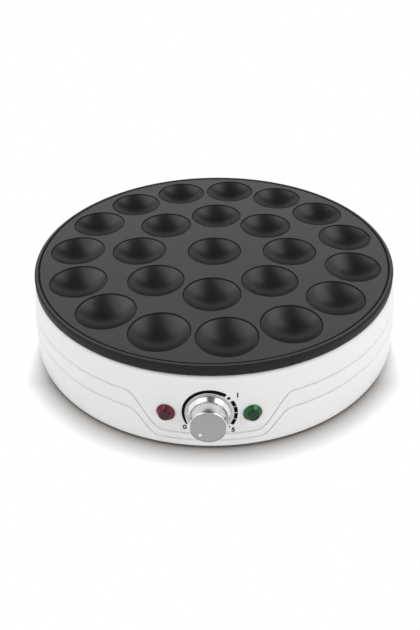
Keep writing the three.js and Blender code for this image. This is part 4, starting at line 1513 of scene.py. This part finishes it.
@dataclass(frozen=True)
class KnobSizes:
    """Sizes of the knob along its axis, from the wall outwards."""

    length: float = 0.0158
    back: float = 0.0015
    skirt_radius: float = 0.0154
    skirt_edge: float = 0.0005
    skirt_top: float = 0.0043
    barrel_radius: float = 0.01315
    front_radius: float = 0.013
    front_chamfer: float = 0.00042
    wall: float = 0.0018
    hub_radius: float = 0.0052
    hub_bore: float = 0.0033
    hub_back: float = 0.0033
    web: float = 0.0013
    recess: float = 0.001
    face_radius: float = 0.01225
    index_radius: float = 0.0009
    index_ring: float = 0.0083
    index_angle: float = math.radians(229)
    ring_radius: float = 0.0164
    ring_bore: float = 0.012
    ring_back: float = 0.0005
    ring_thickness: float = 0.0007


@dataclass(frozen=True)
class Knob:
    """The chromed knob with its satin face, and the flat ring under it.

    Each small rounding is a share of the wall or edge that it ends. The DIMPLE sizes are in radii
    of the index.

    Attributes:
        sizes: its sizes.
        place: where its axis leaves the wall.
        bench: where pieces are made.
    """

    SIDES = 128
    DIMPLE_SIDES = 32
    DIMPLE_STEPS = 6
    DIMPLE_MARGIN = 1.25
    DIMPLE_SPHERE = 1.06
    DIMPLE_START = math.radians(-28)

    sizes: KnobSizes
    place: Matrix
    bench: Bench

    def body(self) -> BMesh:
        """The chromed shell with its skirt, hub and recess for the face.

        Returns:
            The closed mesh, in place.
        """
        s = self.sizes
        web_back = s.length - s.recess - s.web
        cavity = s.barrel_radius - s.wall
        seat = s.face_radius + SEAT_GAP / 2
        corners = [
            Corner(0.0, web_back),
            Corner(s.hub_bore, web_back),
            Corner(s.hub_bore, s.hub_back, s.web / 6),
            Corner(s.hub_radius, s.hub_back, s.web / 6),
            Corner(s.hub_radius, web_back, s.web / 3),
            Corner(cavity, web_back, s.web / 2),
            Corner(cavity, s.back, s.web / 6),
            Corner(s.skirt_radius, s.back, s.skirt_edge / 3),
            Corner(s.skirt_radius, s.back + s.skirt_edge, s.skirt_edge / 2),
            Corner(s.barrel_radius, s.skirt_top, s.skirt_edge / 2),
            Corner(s.front_radius, s.length - s.front_chamfer, s.front_chamfer / 3),
            Corner(s.front_radius - s.front_chamfer, s.length, s.front_chamfer / 4),
            Corner(seat, s.length, s.front_chamfer / 5),
            Corner(seat, s.length - s.recess),
            Corner(0.0, s.length - s.recess),
        ]
        body = turned(corners, self.SIDES, place=self.place)
        smooth(body)
        return body

    def face(self) -> BMesh:
        """The satin disc with its round index dimple.

        Returns:
            The closed mesh, in place.
        """
        s = self.sizes
        radius = s.face_radius - SEAT_GAP / 2
        back = s.length - s.recess + SEAT_GAP
        disc = turned([Corner(radius - s.index_radius / 2, s.length),
                       Corner(radius, s.length, SEAT_GAP / 2),
                       Corner(radius, back), Corner(0.0, back)], self.SIDES, segments=3)
        bowl = arc((0.0, s.length + s.index_radius / 2), s.index_radius * self.DIMPLE_SPHERE,
                   self.DIMPLE_START, -QUARTER_TURN, self.DIMPLE_STEPS)
        dimple = turned([Corner(s.index_radius * self.DIMPLE_MARGIN, s.length),
                         Corner(s.index_radius, s.length, SEAT_GAP / 3), *bowl],
                        self.DIMPLE_SIDES, segments=2)
        bmesh.ops.translate(dimple, verts=dimple.verts, vec=polar(s.index_ring, s.index_angle))
        for face in dimple.faces:
            face.material_index = 1
        join(disc, dimple)
        smooth(disc)
        rims = [edge for edge in disc.edges if edge.is_boundary]
        bmesh.ops.triangle_fill(disc, use_beauty=True, use_dissolve=False, edges=rims, normal=UP)
        bmesh.ops.transform(disc, matrix=self.place, verts=disc.verts)
        return disc

    def ring(self) -> BMesh:
        """The flat trim ring that stays on the wall.

        Returns:
            The closed mesh, in place.
        """
        s = self.sizes
        edge = s.ring_thickness / 3
        front = s.ring_back + s.ring_thickness
        corners = [Corner(s.ring_bore, s.ring_back, edge),
                   Corner(s.ring_radius, s.ring_back, edge / 2),
                   Corner(s.ring_radius, front, edge), Corner(s.ring_bore, front, edge)]
        ring = turned(corners, self.SIDES, closed=True, segments=3, place=self.place)
        smooth(ring)
        return ring

    def build(self) -> None:
        """Builds the knob, its face and its ring."""
        for name, shape, finishes, body, node in (
            ("knob_shell", self.body(), [CHROME], DIAL, "knob"),
            ("knob_face_disc", self.face(), [TURNED_FACE, CHROME], DIAL, "knob_face"),
            ("knob_ring", self.ring(), [TURNED_RING], BASE, "knob_trim_ring"),
        ):
            self.bench.piece(name, outwards(shape), finishes, body, node, self.place)


@dataclass(frozen=True)
class LampSizes:
    """Sizes of a pilot lamp's lens along its axis, from the wall outwards."""

    flange_radius: float = 0.0068
    flange_edge: float = 0.0005
    boss_foot: float = 0.0026
    boss_draft: float = 0.0003
    front_radius: float = 0.0041
    front_height: float = 0.0047
    front_rounding: float = 0.0004
    dish_radius: float = 0.0032
    dish_depth: float = 0.0003
    body_radius: float = 0.0049
    body_length: float = 0.012
    wall: float = 0.0013


@dataclass(frozen=True)
class PilotLamp:
    """A pilot lamp: its lens over the bulb that is carried over.

    Attributes:
        name: its colour's name, as in its nodes.
        finishes: the finishes of its lens's cone and of its front.
        place: where its axis leaves the wall.
        bench: where pieces are made.
        sizes: its sizes.
    """

    SIDES = 64

    name: str
    finishes: Sequence[Finish]
    place: Matrix
    bench: Bench
    sizes: LampSizes = LampSizes()

    def build(self) -> None:
        """Builds the lens."""
        s = self.sizes
        back = SEAT_GAP
        front = back + s.flange_edge
        bore = s.body_radius - s.wall
        dish = s.front_height - s.dish_depth
        corners = [
            Corner(0.0, front),
            Corner(bore, front, s.wall / 4),
            Corner(bore, -s.body_length, s.wall / 6),
            Corner(s.body_radius, -s.body_length, s.wall / 6),
            Corner(s.body_radius, back),
            Corner(s.flange_radius, back, s.flange_edge / 4),
            Corner(s.flange_radius, front, s.flange_edge / 3),
            Corner(s.front_radius + s.boss_draft, s.boss_foot, s.flange_edge / 2),
            Corner(s.front_radius, s.front_height, s.front_rounding),
            Corner(s.dish_radius, s.front_height, s.dish_depth / 2),
            Corner(s.dish_radius - s.dish_depth, dish, s.dish_depth / 2),
            Corner(0.0, dish),
        ]
        lens = turned(corners, self.SIDES)
        smooth(lens)
        for face in lens.faces:
            face.material_index = int(face.calc_center_median().z > s.boss_foot)
        bmesh.ops.transform(lens, matrix=self.place, verts=lens.verts)
        self.bench.piece(f"pilot_lens_{self.name}", outwards(lens), self.finishes,
                         node=f"lens_{self.name}")


@dataclass(frozen=True)
class BaseSizes:
    """Sizes of the feet and the cord gland."""

    cover_thickness: float = 0.0025
    foot_ring: float = 0.126
    feet: int = 4
    foot_radius: float = 0.008
    foot_height: float = 0.0025
    foot_neck: float = 0.0033
    foot_barb: float = 0.0045
    foot_barb_height: float = 0.0022
    foot_edge: float = 0.0007
    gland_seat: float = 0.0013
    gland_flange_radius: float = 0.009
    gland_flange: float = 0.003
    gland_edge: float = 0.001
    gland_neck: float = 0.0064
    gland_bore: float = 0.0042
    gland_length: float = 0.012


@dataclass(frozen=True)
class BaseFittings:
    """Feet under the base cover and the cord gland's bush in the back wall.

    Attributes:
        sizes: their sizes.
        drum: the drum that they sit on.
        bench: where pieces are made.
    """

    SIDES = 64

    sizes: BaseSizes
    drum: DrumSizes
    bench: Bench

    def foot(self, place: Vector) -> BMesh:
        """One rubber foot with its barb, at a place.

        Args:
            place: the middle of its top.

        Returns:
            The closed mesh, in place.
        """
        s = self.sizes
        edge = s.foot_edge
        barb = s.cover_thickness + SEAT_GAP
        tip = barb + s.foot_barb_height
        corners = [
            Corner(0.0, -s.foot_height),
            Corner(s.foot_radius - edge, -s.foot_height, edge / 3),
            Corner(s.foot_radius, edge - s.foot_height, edge / 3),
            Corner(s.foot_radius, -SEAT_GAP, edge / 4),
            Corner(s.foot_neck, -SEAT_GAP),
            Corner(s.foot_neck, barb),
            Corner(s.foot_barb, barb, edge / 3),
            Corner(s.foot_neck, tip, edge / 2),
            Corner(0.0, tip),
        ]
        return turned(corners, self.SIDES, segments=3, place=Matrix.Translation(place))

    def gland(self) -> BMesh:
        """The cord gland's bush.

        Returns:
            The closed mesh, in place.
        """
        s = self.sizes
        back = s.gland_seat + SEAT_GAP
        front = back + s.gland_flange
        corners = [
            Corner(s.gland_bore, -s.gland_length, s.gland_edge / 3),
            Corner(s.gland_neck, -s.gland_length, s.gland_edge / 2),
            Corner(s.gland_neck, back),
            Corner(s.gland_flange_radius, back, s.gland_edge / 4),
            Corner(s.gland_flange_radius, front, s.gland_edge),
            Corner(s.gland_bore, front, s.gland_edge),
        ]
        return turned(corners, self.SIDES, closed=True, place=self.drum.gland_place)

    def build(self) -> None:
        """Builds the feet and the gland."""
        s = self.sizes
        middles = [index + 0.5 for index in range(s.feet)]
        made = [(f"foot_{number}", self.foot(place), RUBBER, f"rubber_foot_{number}")
                for number, place in enumerate(fan(s.foot_ring, 0.0, s.feet, middles), 1)]
        for name, shape, finish, node in [
                *made, ("gland_bush", self.gland(), BLACK_PLASTIC, "cord_gland")]:
            smooth(shape)
            self.bench.piece(name, outwards(shape), [finish], node=node)


class InnerParts:
    """Finishes of the nodes that are carried over, by how their names start."""

    FINISHES = {
        CERAMIC: ("insulating_washer", "thermostat_body", "terminal_block"),
        STEEL: ("terminal_block_screw", "heating_element", "clamp_screw", "plate_screw",
                "cover_screw", "fuse_screw", "dial_shaft", "knob_clip"),
        SHEET: ("heat_shield", "element_clamp", "lamp_retainer", "fuse_clip", "thermal_fuse"),
        BRASS: ("thermostat_nut", "bimetal_strip", "contact_blade", "thermostat_tab"),
        BLACK_PLASTIC: ("base_cover", "cord_gland_nut"),
        LAMP_GLASS: ("bulb",),
        RED_WIRE: ("wire_live",),
        WHITE_WIRE: ("wire",),
    }

    def __init__(self, bench: Bench) -> None:
        """Keeps the bench where nodes are dressed."""
        self.bench = bench

    def build(self) -> None:
        """Dresses every node that no piece stands for, by the longest start that fits."""
        finish_of = {start: finish for finish, starts in self.FINISHES.items()
                     for start in starts}
        for node in sorted(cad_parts):
            if node not in self.bench.dressed:
                longest = max((start for start in finish_of if node.startswith(start)), key=len)
                self.bench.dress(node, finish_of[longest])


@dataclass(frozen=True)
class PhotoView:
    """The photograph's view, in its own frame of 420 by 630 pixels."""

    place: tuple[float, float, float] = (0.0165, -0.4541, 0.3397)
    azimuth: float = math.radians(1.0)
    elevation: float = math.radians(36.694)
    roll: float = math.radians(-0.348)
    focal_pixels: float = 614.02
    centre_x: float = 224.698
    centre_y: float = 313.241
    width: float = 420.0
    height: float = 630.0
    sensor_mm: float = 36.0
    clip_start: float = 0.01


@dataclass(frozen=True)
class Softbox:
    """A soft lamp that hangs over one side.

    Attributes:
        name: its name.
        tilt: angle of its middle from straight up, to the right.
        breadth: its size across.
        radiance: its brightness, where 1 shows as white.
        distance: from the origin to its middle, seen from the front.
        forward: place of its middle along Y.
        length: its size along Y.
        turn: how far its back end is turned to the left.
    """

    name: str
    tilt: float
    breadth: float
    radiance: float
    distance: float = 1.1
    forward: float = -0.1
    length: float = 1.5
    turn: float = math.radians(18)


@dataclass(frozen=True)
class Studio:
    """Camera, light, floor and background.

    SKY gives the light's brightness by how high a direction climbs. BEHIND and BEFORE do the same
    for what metal and gloss show, to the back and to the front. The floor's shade starts at
    SHADOW_START from the middle and reaches SHADOW_REACH further before the object, LEAST_REACH
    behind it. It narrows and fades over SHADOW_RUN from SHADOW_SIDE backwards, but never below
    LEAST_SHADE.

    Attributes:
        view: the photograph's view.
    """

    MIDDLE = Vector((0.0, 0.0, 0.03))
    BOXES = (Softbox("left_softbox", math.radians(-38), 0.76, 1.22),
             Softbox("right_softbox", math.radians(39), 0.66, 1.38))
    WHITE = (1.0, 1.0, 1.0, 1.0)
    SKY = ((0.0, 1.0), (0.3, 1.0), (0.45, 0.86), (0.65, 0.48), (0.8, 0.14), (1.0, 0.05))
    SKY_STRENGTH = 1.24
    TO_RIGHT = 0.12
    BEHIND = ((0.0, 0.6), (0.05, 0.5), (0.2, 0.5), (0.42, 0.75), (0.6, 0.1), (1.0, 0.05))
    BEFORE = ((0.0, 1.0), (0.5, 1.0), (0.7, 0.8), (0.8, 0.15), (1.0, 0.06))
    BEFORE_END = 0.45
    BEFORE_FADE = 2
    FLOOR_RADIUS = 4.0
    FLOOR_SIDES = 96
    FLOOR_COLOUR = (0.8, 0.797, 0.794)
    SHADE_COLOUR = (0.242, 0.223, 0.21)
    SHADOW_START = 0.1572
    SHADOW_REACH = 0.0181
    LEAST_REACH = 0.0014
    SHADOW_FADE = 0.74
    SHADOW_SIDE = -0.03
    SHADOW_RUN = 0.06
    SIDE_FADE = 1.3
    LEAST_SHADE = 0.35

    view: PhotoView

    def camera(self) -> None:
        """Makes the camera."""
        v = self.view
        back = Vector((math.sin(v.azimuth) * math.cos(v.elevation),
                       -math.cos(v.azimuth) * math.cos(v.elevation), math.sin(v.elevation)))
        level = Vector((math.cos(v.azimuth), math.sin(v.azimuth), 0.0))
        right = level * math.cos(v.roll) + back.cross(level) * math.sin(v.roll)
        data = bpy.data.cameras.new("photo_camera")
        data.sensor_width = v.sensor_mm
        data.lens = v.focal_pixels * v.sensor_mm / v.height
        data.shift_x = -(v.centre_x - v.width / 2) / v.height
        data.shift_y = (v.centre_y - v.height / 2) / v.height
        data.clip_start = v.clip_start
        made = linked("photo_camera", data)
        turn = Matrix((right, back.cross(right), back)).transposed().to_4x4()
        made.matrix_world = Matrix.Translation(v.place) @ turn
        bpy.context.scene.camera = made

    def softbox(self, box: Softbox) -> None:
        """Hangs an area light to one side, facing the object.

        Args:
            box: its place, size and strength.
        """
        data = bpy.data.lights.new(box.name, "AREA")
        data.shape = "RECTANGLE"
        data.size = box.length
        data.size_y = box.breadth
        data.energy = box.radiance * math.pi * box.length * box.breadth
        made = linked(box.name, data)
        place = Vector((box.distance * math.sin(box.tilt), box.forward,
                        box.distance * math.cos(box.tilt)))
        facing = (place - self.MIDDLE).to_track_quat("Z", "Y") @ Quaternion(UP, box.turn)
        made.matrix_world = Matrix.LocRotScale(place, facing, None)
        made.visible_camera = False

    def floor(self) -> None:
        """Lays the pale floor under the feet."""
        bm = bmesh.new()
        bmesh.ops.create_circle(bm, cap_ends=True, segments=self.FLOOR_SIDES,
                                radius=self.FLOOR_RADIUS)
        bmesh.ops.translate(bm, verts=bm.verts, vec=(0, 0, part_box("rubber_foot_1")[0].z))
        made = linked("studio_floor", mesh_of("studio_floor", bm))
        made.data.materials.append(self._floor_material())

    def _floor_material(self) -> bpy.types.Material:
        """White where the camera sees it, with a shade that is widest before the object.

        Returns:
            The material.
        """
        material = bpy.data.materials.new("studio_floor")
        material.use_nodes = True
        graph = Graph(material.node_tree)
        place = graph.place()
        along = graph.signal("ShaderNodeSeparateXYZ", "Y", {}, {0: place})
        before = ((self.SHADOW_SIDE - along) / self.SHADOW_RUN).clamped() ** self.SIDE_FADE
        reach = before * self.SHADOW_REACH + self.LEAST_REACH
        share = ((graph.from_axis(place) - self.SHADOW_START) / reach).clamped()
        fade = 1 - share ** self.SHADOW_FADE
        clear = 1 - fade * (before * (1 - self.LEAST_SHADE) + self.LEAST_SHADE)
        camera, glossy, through = self._rays(graph)
        matte, shade = [graph.node("ShaderNodeBsdfDiffuse", {}, {"Color": (*colour, 1.0)})
                        for colour in (self.FLOOR_COLOUR, self.SHADE_COLOUR)]
        white = graph.node("ShaderNodeEmission", {}, {"Color": self.WHITE, "Strength": 1.0})
        shown = graph.node("ShaderNodeMixShader", {}, {
            0: clear, 1: shade.outputs[0], 2: white.outputs[0]})
        shader = graph.node("ShaderNodeMixShader", {}, {
            0: (camera + glossy + through).clamped(), 1: matte.outputs[0], 2: shown.outputs[0]})
        graph.node("ShaderNodeOutputMaterial", {}, {0: shader.outputs[0]})
        return material

    @staticmethod
    def _rays(graph: Graph) -> list[Signal]:
        """Whether a ray is the camera's, a glossy one or one that went through something.

        Args:
            graph: the graph that asks.

        Returns:
            1 or 0 for each of the three.
        """
        path = graph.node("ShaderNodeLightPath")
        return [Signal(graph, path.outputs[name])
                for name in ("Is Camera Ray", "Is Glossy Ray", "Is Transmission Ray")]

    def world(self) -> None:
        """Surrounds the scene with plain light that fades overhead, white to the camera.

        Metal and gloss show a pale backdrop low down, and a dim ceiling that is brighter to the
        front.
        """
        world = bpy.data.worlds.new("studio_world")
        bpy.context.scene.world = world
        world.use_nodes = True
        graph = Graph(world.node_tree)
        way = graph.node("ShaderNodeTexCoord").outputs["Generated"]
        across, along, climb = [Signal(graph, socket) for socket in
                                graph.node("ShaderNodeSeparateXYZ", {}, {0: way}).outputs]
        sky, behind, before = [
            graph.signal("ShaderNodeValToRGB", "Color",
                         {"stops": [(height, (value,) * 3) for height, value in stops]},
                         {"Fac": climb})
            for stops in (self.SKY, self.BEHIND, self.BEFORE)]
        camera, glossy, through = self._rays(graph)
        mirror = (glossy + through).clamped()
        front = ((self.BEFORE_END - along) * self.BEFORE_FADE).clamped()
        plain = sky * (1 + across * self.TO_RIGHT) * self.SKY_STRENGTH
        strength = (plain * (1 - (camera + mirror).clamped())
                    + before.mixed(behind, front) * mirror + camera)
        shader = graph.node("ShaderNodeBackground", {}, {
            "Color": self.WHITE, "Strength": strength})
        graph.node("ShaderNodeOutputWorld", {}, {0: shader.outputs[0]})

    def build(self) -> None:
        """Sets up the whole studio."""
        self.camera()
        self.world()
        self.floor()
        for box in self.BOXES:
            self.softbox(box)
        bpy.context.scene.view_settings.view_transform = "Standard"


def main() -> None:
    """Builds the studio and every sub-assembly in order."""
    logging.basicConfig(level=logging.INFO, format="%(name)s: %(message)s")
    bench = Bench(Workshop())
    drum = DrumSizes()
    plate = BakingPlate(PlateSizes(), bench)
    for assembly in (
        Studio(PhotoView()),
        plate,
        Drum(drum, bench, plate),
        DialScale(ScaleSizes(), drum, bench),
        Knob(KnobSizes(), drum.dial_place, bench),
        PilotLamp("red", [RED_LENS, RED_FRONT], drum.lamp_place(-1), bench),
        PilotLamp("green", [GREEN_LENS, GREEN_FRONT], drum.lamp_place(1), bench),
        BaseFittings(BaseSizes(), drum, bench),
        InnerParts(bench),
    ):
        assembly.build()


if __name__ == "__main__":
    main()
